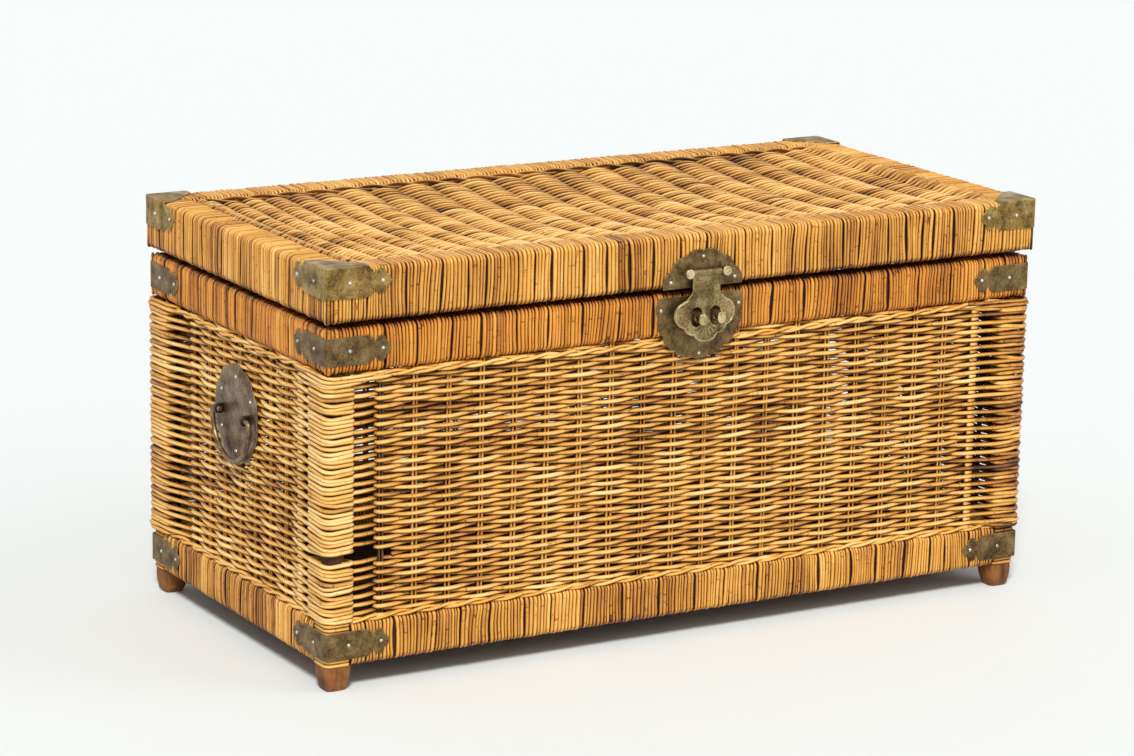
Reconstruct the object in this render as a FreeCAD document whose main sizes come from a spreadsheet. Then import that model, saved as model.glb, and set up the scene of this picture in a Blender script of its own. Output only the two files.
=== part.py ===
"""Wicker trunk with wrapped rails, woven panels, corner brackets, hasp, bail handles and a hinged lid.

Millimetres. +X is the trunk's right, -Y its front, +Z up. The origin lies on the floor, at the middle
of the trunk's outer box.
"""
import FreeCAD, Part
import math
import os

import Sketcher

V = FreeCAD.Vector

doc = FreeCAD.newDocument("wicker_trunk")
sheet = doc.addObject("Spreadsheet::Sheet", "Sizes")

# Driving dimensions, and a few that follow from them: name, millimetres or a count, and what it is
SIZES = (
    ("base_length", 907, "outer length of the wrapped base rails"),
    ("base_depth", 444, "outer depth of the wrapped base rails"),
    ("lid_end_overhang", 3, "lid rails beyond the base rails at each end"),
    ("lid_overhang", 4.5, "lid rails beyond the base rails at the front and back"),
    ("lid_length", "=base_length + 2 * lid_end_overhang", "outer length of the wrapped lid rails"),
    ("lid_depth", "=base_depth + 2 * lid_overhang", "outer depth of the wrapped lid rails"),
    ("foot_height", 27.5, "floor to the underside of the lower rails"),
    ("lower_rail_height", 48.5, "height of the lower wrapped rails"),
    ("panel_height", 272.5, "height of the woven sides between the rails"),
    ("upper_rail_height", 50, "height of the upper wrapped rails"),
    ("lid_gap", 5, "gap between the base's rim and the lid"),
    ("lid_rail_height", 60, "height of the lid's wrapped rails"),
    ("base_rail_depth", 32, "width of the base rails, seen from above"),
    ("lid_rail_depth", 40, "width of the lid rails, seen from above"),
    ("wrap_thickness", 4.4, "thickness of the wound strands"),
    ("rail_rounding", 7, "rounding of a rail's long edges"),
    ("corner_clip", 3, "clipped tip where two rails meet"),
    ("panel_inset", 2.5, "woven side's outer face, behind the rail's face"),
    ("panel_thickness", 11, "thickness of a woven side"),
    ("side_rows", 57, "rows of rods in a woven side"),
    ("side_rod", 4.2, "rods of a woven side"),
    ("side_row_relief", 1.5, "how far a row of a woven side stands out"),
    ("long_side_gap", 33, "open gaps beside the corner weaves, on the front"),
    ("front_corner_gap", 36, "open gaps beside the front corner weaves, on the left and right"),
    ("back_corner_gap", 70, "open gaps beside the back corner weaves, on the left and right"),
    ("closed_rows", 2, "rows below and above the open gaps"),
    ("bottom_rise", 17.5, "woven bottom's underside, above the lower rail's underside"),
    ("bottom_thickness", 10, "thickness of the woven bottom"),
    ("post_diameter", 24, "corner pole"),
    ("post_inset", 16, "corner pole's axis, in from both outer faces"),
    ("tenon_diameter", 12, "round tenons and foot dowels"),
    ("tenon_length", 15, "how far a tenon reaches into a rail"),
    ("tenon_clearance", 0.05, "radial clearance round a tenon"),
    ("corner_weave_width", 31, "width of the weave round a corner pole"),
    ("corner_weave_proud", 1.5, "corner weave's reach beyond the rail's face"),
    ("corner_weave_rounding", 12, "rounding of the corner weave"),
    ("foot_top", 29, "foot's width at its top"),
    ("foot_bottom", 22, "foot's width at the floor"),
    ("foot_corner", 4, "clipped corners of a foot"),
    ("foot_dowel_length", 24, "dowel that holds a foot in the lower rail"),
    ("lid_panel_thickness", 9, "thickness of the lid's woven top"),
    ("lid_panel_drop", 7, "woven top's edge, below the top of the lid rails"),
    ("lid_panel_sag", 14, "sag of the woven top at its middle"),
    ("lid_panel_end_sag", 3, "sag of the woven top at its two ends"),
    ("lid_rows", 76, "rows of rods in the woven top"),
    ("lid_row_relief", 1.8, "how far a row of the woven top stands out"),
    ("bracket_reach", 76, "corner to the tip of a bracket's finial"),
    ("bracket_height", 30.5, "height of a base corner bracket"),
    ("bracket_thickness", 1, "sheet that the brackets are cut from"),
    ("bracket_plate", 50, "corner to where a bracket's plate starts to narrow"),
    ("bracket_waist", 58.5, "corner to the waist behind the finial"),
    ("bracket_waist_height", 8.4, "height of the waist"),
    ("finial_height", 28, "height of the three-lobed finial"),
    ("cap_height", 32.5, "height of a lid corner cap below the rail's top"),
    ("cap_flange", 50, "legs of the flange on top of a lid cap"),
    ("cap_flange_tip", 11, "width of the flange at the ends of its legs"),
    ("plate_nail_at", 27, "corner to the nail in a bracket's plate"),
    ("finial_nail_at", 66, "corner to the nail in a bracket's finial"),
    ("nail_head_diameter", 4.4, "nail head"),
    ("nail_head_height", 1.3, "height of the domed nail head"),
    ("nail_shank_diameter", 1.9, "nail shank"),
    ("nail_bite", 4, "how far a nail goes into the wicker"),
    ("nail_clearance", 0.05, "radial clearance round a nail shank"),
    ("hasp_offset", 5, "hasp's centre line, right of the trunk's middle"),
    ("hasp_plate_thickness", 1.2, "sheet of the hasp's and handles' plates"),
    ("upper_plate_radius", 54.7, "lobe tips of the hasp's upper plate"),
    ("upper_plate_centre", 11.6, "centre of its lobes, below the plate's straight edge"),
    ("upper_plate_lobes", 6, "lobes of the upper plate"),
    ("lower_plate_radius", 56.8, "lobe tips of the hasp's lower plate"),
    ("lower_plate_centre", 15.7, "centre of its lobes, below the plate's straight edge"),
    ("lower_plate_lobes", 9, "lobes of the lower plate"),
    ("lower_plate_drop", 4.8, "lower plate's straight edge, below the base's rim"),
    ("lobe_depth", 2.6, "depth of the notches between lobes"),
    ("upper_plate_nail_inset", 9.1, "nails of the upper plate, in from its lobe tips"),
    ("lower_plate_nail_inset", 6.5, "nails of the lower plate, in from its lobe tips"),
    ("hasp_pin_height", 18, "hasp's pin above the lid's lower edge"),
    ("hasp_pin_out", 9.5, "hasp's pin in front of the lid rail's face"),
    ("hasp_pin_diameter", 3.5, "hasp's hinge pin"),
    ("running_clearance", 0.05, "radial clearance of the running fits"),
    ("knuckle_post_spacing", 47.6, "distance between the posts that hold the pin"),
    ("knuckle_post_diameter", 7.6, "shank of such a post"),
    ("knuckle_post_reach", 14, "post's end in front of the lid rail's face"),
    ("knuckle_head_diameter", 10.4, "post's flat head"),
    ("knuckle_head_thickness", 2.6, "thickness of that head"),
    ("barrel_diameter", 7, "rolled barrel at the top of the flap"),
    ("barrel_length", 34.8, "length of the barrel and width of the flap's neck"),
    ("flap_length", 78.5, "pin to the lowest point of the flap"),
    ("flap_half_width", 39.2, "half width of the flap at its shoulders"),
    ("flap_thickness", 2, "thickness of the flap"),
    ("flap_dome_radius", 250, "radius that the flap is bowed to"),
    ("flap_front", 10, "flap's front at its centre line, before the lid rail's face"),
    ("eye_drop", 49.6, "padlock eyes below the hasp's pin"),
    ("eye_spacing", 24, "distance between the two padlock eyes"),
    ("eye_width", 9.7, "width of a padlock eye"),
    ("eye_height", 12.8, "height of a padlock eye"),
    ("eye_reach", 27.5, "end of a padlock eye, before the base rail's face"),
    ("eye_hole_out", 21, "hole's axis, before the base rail's face"),
    ("eye_hole_diameter", 5.5, "hole for a padlock's shackle"),
    ("slot_width", 13.5, "slot of the flap over an eye"),
    ("slot_height", 22, "height of that slot"),
    ("handle_height", 258.5, "axis of a side handle above the floor"),
    ("handle_plate_half_width", 54, "half width of a handle's plate"),
    ("handle_plate_half_height", 57, "half height of a handle's plate"),
    ("handle_plate_lobes", 10, "lobes of a handle's plate"),
    ("handle_nail_circle", 42, "radius of the nails in a handle's plate"),
    ("bail_axis_out", 6.5, "bail's axis before the handle plate's face"),
    ("bail_diameter", 5.5, "wire of a bail handle"),
    ("bail_radius", 46, "radius of the bail's bow"),
    ("bail_bend", 6, "radius of the bail's two upper bends"),
    ("bail_end", 28, "bail's wire ends, from its middle"),
    ("bail_eye_at", 33, "bail's eyes, from its middle"),
    ("bail_eye_thickness", 4, "thickness of a bail's eye"),
    ("bail_eye_radius", 5.5, "outer radius of a bail's eye"),
    ("hinge_at", 250, "back hinges, from the trunk's middle"),
    ("hinge_width", 60, "width of a back hinge"),
    ("hinge_leaf_height", 32, "height of a hinge leaf"),
    ("hinge_leaf_thickness", 1.5, "thickness of a hinge leaf"),
    ("hinge_knuckle_radius", 3.5, "radius of a hinge knuckle"),
    ("hinge_pin_diameter", 3, "pin of a back hinge"),
    ("hinge_middle", 22, "width of the lid's knuckle"),
    ("hinge_side_gap", 0.5, "gap beside the lid's knuckle"),
    ("hinge_stand", 0.3, "gap between the knuckle and the lid rail's face"),
    ("hinge_web_lap", 0.5, "how far the base knuckle's web laps its barrel"),
    ("hinge_screw_at", 21, "outer screws of a hinge, from its middle"),
)

for row, (alias, value, meaning) in enumerate(SIZES, start=1):
    sheet.set(f"A{row}", str(value))
    sheet.set(f"B{row}", meaning)
    sheet.setAlias(f"A{row}", alias)
doc.recompute()


def size(text):
    """Turn a formula of plain size names into an expression on the sheet."""
    words = []
    word = ""
    for letter in text + " ":
        if letter.isalnum() or letter in "_.":
            word += letter
            continue
        words.append("Sizes." + word if word[:1].isalpha() else word)
        words.append(letter)
        word = ""
    return "".join(words).strip()


def number(text):
    """Work out a formula of size names."""
    return float(sheet.evalExpression(size(text)))


# Heights that follow from the stack of rails, panel and lid
LOWER_RAIL = ("foot_height", "foot_height + lower_rail_height")
PANEL_TOP = f"{LOWER_RAIL[1]} + panel_height"
UPPER_RAIL = (PANEL_TOP, f"{PANEL_TOP} + upper_rail_height")
LID_RAIL = (f"{UPPER_RAIL[1]} + lid_gap", f"{UPPER_RAIL[1]} + lid_gap + lid_rail_height")

# The hasp stands out in front and the hinges behind, so the trunk sits this far back from the origin
HINGE_OUT = "(lid_overhang + hinge_stand + hinge_knuckle_radius)"
FRONT_REACH = "(base_depth / 2 + eye_reach)"
BACK_REACH = f"(base_depth / 2 + {HINGE_OUT} + hinge_knuckle_radius)"
SHIFT = f"({FRONT_REACH} - {BACK_REACH}) / 2"

# Each side: its turn about Z, and the part of the outer box that its face stands at
SIDES = {"front": (0, 0, -1), "right": (90, 1, 0), "back": (180, 0, 1), "left": (270, -1, 0)}
CORNERS = {
    "front_left": ("front", -1, -1),
    "front_right": ("right", 1, -1),
    "back_right": ("back", 1, 1),
    "back_left": ("left", -1, 1),
}

nodes = []


def keep(item, name):
    """Give a finished sub-part its name and put it on the list that is written out."""
    item.Label = name
    nodes.append(item)
    return item


def stand(item, side, length, depth, along="0", out="0", up="0"):
    """Place an item drawn for the front, with its back to +Y, on one side of the trunk."""
    turn, at_x, at_y = SIDES[side]
    item.Placement = FreeCAD.Placement(V(0, 0, 0), FreeCAD.Rotation(V(0, 0, 1), turn))
    cosine = round(math.cos(math.radians(turn)))
    sine = round(math.sin(math.radians(turn)))
    x = f"{at_x} * ({length}) / 2 + {cosine} * ({along}) + {sine} * ({out})"
    y = f"{at_y} * ({depth}) / 2 + {sine} * ({along}) - {cosine} * ({out}) + {SHIFT}"
    item.setExpression("Placement.Base.x", size(x))
    item.setExpression("Placement.Base.y", size(y))
    item.setExpression("Placement.Base.z", size(up))


def stand_corner(item, corner, length, depth, inset="0", up="0"):
    """Place an item drawn for the front left corner, its own corner at the origin, on a corner."""
    side, at_x, at_y = CORNERS[corner]
    item.Placement = FreeCAD.Placement(V(0, 0, 0), FreeCAD.Rotation(V(0, 0, 1), SIDES[side][0]))
    item.setExpression("Placement.Base.x", size(f"{at_x} * (({length}) / 2 - ({inset}))"))
    item.setExpression("Placement.Base.y", size(f"{at_y} * (({depth}) / 2 - ({inset})) + {SHIFT}"))
    item.setExpression("Placement.Base.z", size(up))


def new_body(name):
    """Start a body."""
    return doc.addObject("PartDesign::Body", name)


def new_sketch(body, plane, offset="0"):
    """Start a sketch on one of the body's own origin planes, moved along that plane's normal."""
    sketch = body.newObject("Sketcher::SketchObject", body.Name + "_sketch")
    planes = {feature.Role: feature for feature in body.Origin.OriginFeatures}
    sketch.AttachmentSupport = [(planes[plane], "")]
    sketch.MapMode = "FlatFace"
    if offset != "0":
        sketch.setExpression("AttachmentOffset.Base.z", size(offset))
    return sketch


def draw_polygon(sketch, points):
    """Draw a closed polygon whose corners are pairs of formulas, each held from the origin."""
    first = sketch.GeometryCount
    count = len(points)
    places = [V(number(x), number(y), 0) for x, y in points]
    for index, place in enumerate(places):
        sketch.addGeometry(Part.LineSegment(place, places[(index + 1) % count]))
    for index, (x, y) in enumerate(points):
        after = first + (index + 1) % count
        sketch.addConstraint(Sketcher.Constraint("Coincident", first + index, 2, after, 1))
        for kind, formula, axis in (("DistanceX", x, -2), ("DistanceY", y, -1)):
            if number(formula) == 0:
                sketch.addConstraint(Sketcher.Constraint("PointOnObject", first + index, 1, axis))
                continue
            held = Sketcher.Constraint(kind, -1, 1, first + index, 1, number(formula))
            sketch.setExpression(f"Constraints[{sketch.addConstraint(held)}]", size(formula))


def draw_rectangle(sketch, x_low, x_high, y_low, y_high):
    """Draw a rectangle between four formulas."""
    draw_polygon(sketch, ((x_low, y_low), (x_high, y_low), (x_high, y_high), (x_low, y_high)))


def draw_circle(sketch, x, y, diameter):
    """Draw a circle whose centre and diameter are formulas."""
    centre = V(number(x), number(y), 0)
    circle = sketch.addGeometry(Part.Circle(centre, V(0, 0, 1), number(diameter) / 2))
    bound = Sketcher.Constraint("Diameter", circle, number(diameter))
    sketch.setExpression(f"Constraints[{sketch.addConstraint(bound)}]", size(diameter))
    for kind, formula, axis in (("DistanceX", x, -2), ("DistanceY", y, -1)):
        if number(formula) == 0:
            sketch.addConstraint(Sketcher.Constraint("PointOnObject", circle, 3, axis))
            continue
        held = Sketcher.Constraint(kind, -1, 1, circle, 3, number(formula))
        sketch.setExpression(f"Constraints[{sketch.addConstraint(held)}]", size(formula))


def draw_path(sketch, start, steps):
    """Draw lines and arcs from a start point: a step is an end point, or a point between and an end."""
    here = V(*start, 0)
    pieces = []
    for step in steps:
        points = [V(*point, 0) for point in step]
        end = points[-1]
        if len(points) == 2:
            # A sketch wants its arcs to run anticlockwise
            clockwise = (points[0] - here).cross(end - points[0]).z < 0
            first, last = (end, here) if clockwise else (here, end)
            pieces.append(Part.Arc(first, points[0], last))
        elif (end - here).Length > 1e-6:
            pieces.append(Part.LineSegment(here, end))
        here = end
    sketch.addGeometry(pieces)


def pad(body, sketch, length, both_ways=False, reverse=False):
    """Pad a sketch by a formula's length."""
    feature = body.newObject("PartDesign::Pad", body.Name + "_pad")
    feature.Profile = sketch
    feature.setExpression("Length", size(length))
    feature.Midplane = both_ways
    feature.Reversed = reverse
    doc.recompute()
    return feature


def pocket(body, sketch, length=None, both_ways=False, reverse=False):
    """Cut a sketch through the body, or to a formula's depth, and make sure that it cut."""
    before = body.Tip.Shape.Volume
    feature = body.newObject("PartDesign::Pocket", body.Name + "_pocket")
    feature.Profile = sketch
    if length is None:
        feature.Type = "ThroughAll"
    else:
        feature.setExpression("Length", size(length))
    feature.Midplane = both_ways
    feature.Reversed = reverse
    doc.recompute()
    if not feature.Shape.Volume < before:
        raise RuntimeError(f"a pocket of {body.Name} cut nothing")
    return feature


def fillet(body, radius, chosen):
    """Round the edges of the body's last feature for which chosen(edge) is true."""
    base = body.Tip
    names = [f"Edge{i}" for i, edge in enumerate(base.Shape.Edges, start=1) if chosen(edge)]
    feature = body.newObject("PartDesign::Fillet", body.Name + "_fillet")
    feature.Base = (base, names)
    feature.setExpression("Radius", size(radius))
    doc.recompute()
    return feature


def runs_along(edge, axis):
    """Say whether a straight edge runs along an axis."""
    if not isinstance(edge.Curve, Part.Line):
        return False
    direction = edge.Vertexes[-1].Point - edge.Vertexes[0].Point
    return abs(abs(direction.normalize().dot(axis)) - 1) < 1e-6


def stands_at(edge, x, y):
    """Say whether an upright edge stands at a place in plan."""
    point = edge.Vertexes[0].Point
    return runs_along(edge, V(0, 0, 1)) and abs(point.x - x) < 1e-4 and abs(point.y - y) < 1e-4


# Rails: a solid core in a wound sleeve, mitred at the corners of the trunk

SHANK_HOLE = "nail_shank_diameter + 2 * nail_clearance"
TENON_HOLE = "tenon_diameter + 2 * tenon_clearance"


def cut_mitres(body, half, depth):
    """Cut both ends of a rail to mitres with clipped tips."""
    sketch = new_sketch(body, "XY_Plane")
    for sign in (-1, 1):
        corners = (
            (f"{half} - corner_clip", "-1"),
            (f"{half} - corner_clip", "0"),
            (f"{half} - corner_clip / 2", "corner_clip / 2"),
            (f"{half} - {depth}", f"{depth}"),
            (f"{half} - {depth}", f"{depth} + 1"),
            (f"{half} + 1", f"{depth} + 1"),
            (f"{half} + 1", "-1"),
        )
        draw_polygon(sketch, [(f"{sign} * ({x})", y) for x, y in corners])
    pocket(body, sketch, both_ways=True)


def rail(name, length, depth, low, high, sleeve, tenons, nails=()):
    """Draw one rail along X with its face at y = 0: its wound sleeve, or the core inside."""
    half = f"({length}) / 2"
    skin = "wrap_thickness"
    body = new_body(name)
    sketch = new_sketch(body, "YZ_Plane")
    if sleeve:
        draw_rectangle(sketch, "0", depth, low, high)
    else:
        draw_rectangle(sketch, skin, f"{depth} - {skin}", f"{low} + {skin}", f"{high} - {skin}")
    pad(body, sketch, length, both_ways=True)
    if sleeve:
        fillet(body, "rail_rounding", lambda edge: runs_along(edge, V(1, 0, 0)))
        sketch = new_sketch(body, "YZ_Plane")
        draw_rectangle(sketch, skin, f"{depth} - {skin}", f"{low} + {skin}", f"{high} - {skin}")
        pocket(body, sketch, both_ways=True)
    cut_mitres(body, half, depth)
    if tenons:
        sketch = new_sketch(body, "XY_Plane", low)
        for sign in (-1, 1):
            draw_circle(sketch, f"{sign} * ({half} - post_inset)", "post_inset", TENON_HOLE)
        reach = {"upper": "tenon_length + tenon_clearance", "lower": f"{high} - ({low})"}[tenons]
        pocket(body, sketch, reach, reverse=True)
    if nails:
        sketch = new_sketch(body, "XZ_Plane")
        for x, z in nails:
            draw_circle(sketch, x, z, SHANK_HOLE)
        pocket(body, sketch, "nail_bite")
    return body


def middle(band):
    """Middle height of a band given by its low and high formulas."""
    return f"(({band[0]}) + ({band[1]})) / 2"


CAP_MIDDLE = f"({LID_RAIL[1]} - cap_height / 2)"
HASP_PIN_Z = f"({LID_RAIL[0]} + hasp_pin_height)"
UPPER_PLATE_Z = f"({LID_RAIL[0]} - upper_plate_centre)"
LOWER_PLATE_TOP = f"({UPPER_RAIL[1]} - lower_plate_drop)"
LOWER_PLATE_Z = f"({LOWER_PLATE_TOP} - lower_plate_centre)"
HINGE_Z = f"({UPPER_RAIL[1]} + lid_gap / 2)"
BASE_LEAF_MIDDLE = f"({HINGE_Z} - hinge_knuckle_radius - hinge_leaf_height / 2)"
LID_LEAF_MIDDLE = f"({HINGE_Z} + hinge_knuckle_radius + hinge_leaf_height / 2)"


def bracket_nails(length, height):
    """Nail places of the two bracket arms on one side: along it, and up."""
    half = f"({length}) / 2"
    places = []
    for sign in (-1, 1):
        for at in ("plate_nail_at", "finial_nail_at"):
            places.append((f"{sign} * ({half} - {at})", height))
    return places


def circle_places(radius, centre_x, centre_z, angles):
    """Nail places on a circle, at angles in degrees from the right."""
    places = []
    for angle in angles:
        across = f"({centre_x}) + {math.cos(math.radians(angle)):.6f} * ({radius})"
        upward = f"({centre_z}) + {math.sin(math.radians(angle)):.6f} * ({radius})"
        places.append((across, upward))
    return places


UPPER_PLATE_NAILS = circle_places(
    "upper_plate_radius - upper_plate_nail_inset", "hasp_offset", UPPER_PLATE_Z, (25, 90, 155)
)
LOWER_PLATE_NAILS = circle_places(
    "lower_plate_radius - lower_plate_nail_inset", "hasp_offset", LOWER_PLATE_Z, (2, 270, 178)
)
HANDLE_NAILS = circle_places("handle_nail_circle", "0", "handle_height", range(30, 390, 60))


def hinge_screws(height):
    """Screw places of both hinges' leaves on the back."""
    places = []
    for hinge in (-1, 1):
        for screw in (-1, 0, 1):
            places.append((f"{hinge} * hinge_at + {screw} * hinge_screw_at", height))
    return places


LEVELS = {
    "lower": ("base_length", "base_depth", LOWER_RAIL, "base_rail_depth", middle(LOWER_RAIL)),
    "upper": ("base_length", "base_depth", UPPER_RAIL, "base_rail_depth", middle(UPPER_RAIL)),
    "lid": ("lid_length", "lid_depth", LID_RAIL, "lid_rail_depth", CAP_MIDDLE),
}
EXTRA_NAILS = {
    ("upper", "front"): [place for place in LOWER_PLATE_NAILS if number(place[1]) > number(PANEL_TOP)],
    ("lid", "front"): UPPER_PLATE_NAILS,
    ("upper", "back"): hinge_screws(BASE_LEAF_MIDDLE),
    ("lid", "back"): hinge_screws(LID_LEAF_MIDDLE),
}


def make_rails(level):
    """Make one level's four cores, as one group, and its four wound sleeves."""
    whole_length, whole_depth, (low, high), depth, nail_height = LEVELS[level]
    tenons = None if level == "lid" else level
    cores = []
    for side in SIDES:
        length = whole_length if side in ("front", "back") else whole_depth
        core = rail(f"{level}_core_{side}", length, depth, low, high, False, tenons)
        core.Label = f"{level} core {side}"
        stand(core, side, whole_length, whole_depth)
        cores.append(core)
        nails = bracket_nails(length, nail_height) + EXTRA_NAILS.get((level, side), [])
        sleeve = rail(f"{level}_wrap_{side}", length, depth, low, high, True, tenons, nails)
        stand(sleeve, side, whole_length, whole_depth)
        keep(sleeve, f"{level}_wrap_{side}")
    group = doc.addObject("Part::Compound", f"{level}_rail_core")
    group.Links = cores
    keep(group, f"{level}_rail_core")


# Corner poles, the weave wound round them, and the feet

def make_post(corner):
    """Make a corner pole with a round tenon at each end."""
    body = new_body(f"corner_post_{corner}")
    sketch = new_sketch(body, "XZ_Plane")
    thin = "tenon_diameter / 2"
    thick = "post_diameter / 2"
    low, high = LOWER_RAIL[1], PANEL_TOP
    outline = (
        ("0", f"{low} - tenon_length"),
        (thin, f"{low} - tenon_length"),
        (thin, low),
        (thick, low),
        (thick, high),
        (thin, high),
        (thin, f"{high} + tenon_length"),
        ("0", f"{high} + tenon_length"),
    )
    draw_polygon(sketch, outline)
    turn = body.newObject("PartDesign::Revolution", body.Name + "_turn")
    turn.Profile = sketch
    turn.ReferenceAxis = (sketch, ["V_Axis"])
    turn.Angle = 360
    doc.recompute()
    stand_corner(body, corner, "base_length", "base_depth", "post_inset")
    keep(body, f"corner_post_{corner}")


def make_corner_weave():
    """Make the weave wound round each corner pole, as one group."""
    sleeves = []
    for corner in CORNERS:
        body = new_body(f"corner_weave_{corner}")
        sketch = new_sketch(body, "XY_Plane", LOWER_RAIL[1])
        low = "-corner_weave_proud"
        high = "corner_weave_width - corner_weave_proud"
        draw_rectangle(sketch, low, high, low, high)
        pad(body, sketch, "panel_height")
        edge_at = number(low)
        fillet(body, "corner_weave_rounding", lambda edge: stands_at(edge, edge_at, edge_at))
        sketch = new_sketch(body, "XY_Plane")
        draw_circle(sketch, "post_inset", "post_inset", "post_diameter + 2 * tenon_clearance")
        pocket(body, sketch, both_ways=True)
        body.Label = f"corner weave {corner}"
        stand_corner(body, corner, "base_length", "base_depth")
        sleeves.append(body)
    group = doc.addObject("Part::Compound", "corner_weave")
    group.Links = sleeves
    keep(group, "corner_weave")


def clipped_square(width):
    """Corners of a square with clipped corners about the origin."""
    half = f"({width}) / 2"
    short = f"({half} - foot_corner)"
    return (
        (f"-{short}", f"-({half})"),
        (short, f"-({half})"),
        (f"({half})", f"-{short}"),
        (f"({half})", short),
        (short, f"({half})"),
        (f"-{short}", f"({half})"),
        (f"-({half})", short),
        (f"-({half})", f"-{short}"),
    )


def make_foot(corner):
    """Make a tapered foot with the dowel that holds it in the lower rail."""
    body = new_body(f"foot_{corner}")
    ground = new_sketch(body, "XY_Plane")
    draw_polygon(ground, clipped_square("foot_bottom"))
    top = new_sketch(body, "XY_Plane", "foot_height")
    draw_polygon(top, clipped_square("foot_top"))
    loft = body.newObject("PartDesign::AdditiveLoft", body.Name + "_loft")
    loft.Profile = ground
    loft.Sections = [top]
    loft.Ruled = True
    doc.recompute()
    sketch = new_sketch(body, "XY_Plane", "foot_height")
    draw_circle(sketch, "0", "0", "tenon_diameter")
    pad(body, sketch, "foot_dowel_length")
    stand_corner(body, corner, "base_length", "base_depth", "post_inset")
    keep(body, f"foot_{corner}")


# Woven panels

def over_rows(low, high, rows, relief, surface):
    """Steps over the rounded rows of a weave, one arc for each, along a surface that holds their crests."""
    valleys = [low + (high - low) * row / rows for row in range(rows + 1)]
    steps = []
    for here, after in zip(valleys[:-1], valleys[1:]):
        steps.append([surface((here + after) / 2, 0), surface(after, relief)])
    return steps


GAPS = {
    "front": ("long_side_gap", "long_side_gap"),
    "right": ("front_corner_gap", "back_corner_gap"),
    "left": ("back_corner_gap", "front_corner_gap"),
}


def cut_gaps(body, side, half):
    """Cut the gaps beside the corner weaves, which only every other row of a woven side crosses."""
    left_gap, right_gap = (number(name) for name in GAPS[side])
    rows = round(number("side_rows"))
    closed = round(number("closed_rows"))
    pitch = number("panel_height / side_rows")
    half_height = pitch - number("side_rod / 2")
    sketch = new_sketch(body, "XZ_Plane")
    for row in range(closed, rows - closed, 2):
        middle = number(LOWER_RAIL[1]) + (row + 0.5) * pitch
        low, high = middle - half_height, middle + half_height
        for left, right in ((-half, left_gap - half), (half - right_gap, half)):
            draw_path(sketch, (left, low), ([(right, low)], [(right, high)], [(left, high)], [(left, low)]))
    pocket(body, sketch, both_ways=True)


def make_side_panel(side):
    """Make one woven side, between two corner weaves and two rails."""
    body = new_body(f"panel_{side}")
    length = "base_length" if side in ("front", "back") else "base_depth"
    half = f"({length} / 2 - corner_weave_width + corner_weave_proud)"
    low, high = number(LOWER_RAIL[1]), number(PANEL_TOP)
    near, far = number("panel_inset"), number("panel_inset + panel_thickness")
    relief = number("side_row_relief")

    def face(height, sunk):
        """Place on the woven side's outer face, or sunk below it."""
        return near + sunk, height

    steps = over_rows(low, high, round(number("side_rows")), relief, face)
    steps += [[(far, high)], [(far, low)], [face(low, relief)]]
    sketch = new_sketch(body, "YZ_Plane")
    draw_path(sketch, face(low, relief), steps)
    pad(body, sketch, f"2 * {half}", both_ways=True)
    if side in GAPS:
        cut_gaps(body, side, number(half))
    nails = {"left": HANDLE_NAILS, "right": HANDLE_NAILS, "front": LOWER_PLATE_NAILS}.get(side, [])
    nails = [place for place in nails if number(place[1]) < number(PANEL_TOP)]
    if nails:
        sketch = new_sketch(body, "XZ_Plane", "-panel_inset")
        for x, z in nails:
            draw_circle(sketch, x, z, SHANK_HOLE)
        pocket(body, sketch, "nail_bite")
    stand(body, side, "base_length", "base_depth")
    keep(body, f"panel_{side}")


def make_bottom_panel():
    """Make the woven bottom between the lower rails."""
    board = doc.addObject("Part::Box", "panel_bottom")
    across = "(base_length - 2 * base_rail_depth)"
    deep = "(base_depth - 2 * base_rail_depth)"
    board.setExpression("Length", size(across))
    board.setExpression("Width", size(deep))
    board.setExpression("Height", size("bottom_thickness"))
    board.setExpression("Placement.Base.x", size(f"-{across} / 2"))
    board.setExpression("Placement.Base.y", size(f"-{deep} / 2 + {SHIFT}"))
    board.setExpression("Placement.Base.z", size("foot_height + bottom_rise"))
    keep(board, "panel_bottom")


def make_lid_panel():
    """Make the lid's woven top, which sags between its rails."""
    body = new_body("panel_lid")
    half_depth = number("lid_depth / 2 - lid_rail_depth")
    edge = number(f"{LID_RAIL[1]} - lid_panel_drop")
    thick = number("lid_panel_thickness")
    rows, relief = round(number("lid_rows")), number("lid_row_relief")
    reach = "(lid_length / 2 - lid_rail_depth)"
    sags = {f"-{reach}": "lid_panel_end_sag", "0": "lid_panel_sag", reach: "lid_panel_end_sag"}
    sections = []
    for offset, sag_name in sags.items():
        sag = number(sag_name)
        sketch = new_sketch(body, "YZ_Plane", offset)

        def dish(across, sunk):
            """Place on the dished top, or sunk below it."""
            return across, edge - sag * (1 - (across / half_depth) ** 2) - sunk

        steps = over_rows(-half_depth, half_depth, rows, relief, dish)
        steps += [
            [(half_depth, edge - thick)],
            [(0, edge - thick - sag), (-half_depth, edge - thick)],
            [dish(-half_depth, relief)],
        ]
        draw_path(sketch, dish(-half_depth, relief), steps)
        sections.append(sketch)
    loft = body.newObject("PartDesign::AdditiveLoft", "panel_lid_loft")
    loft.Profile = sections[0]
    loft.Sections = sections[1:]
    doc.recompute()
    body.setExpression("Placement.Base.y", size(SHIFT))
    keep(body, "panel_lid")


# Corner brackets and lid caps

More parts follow.
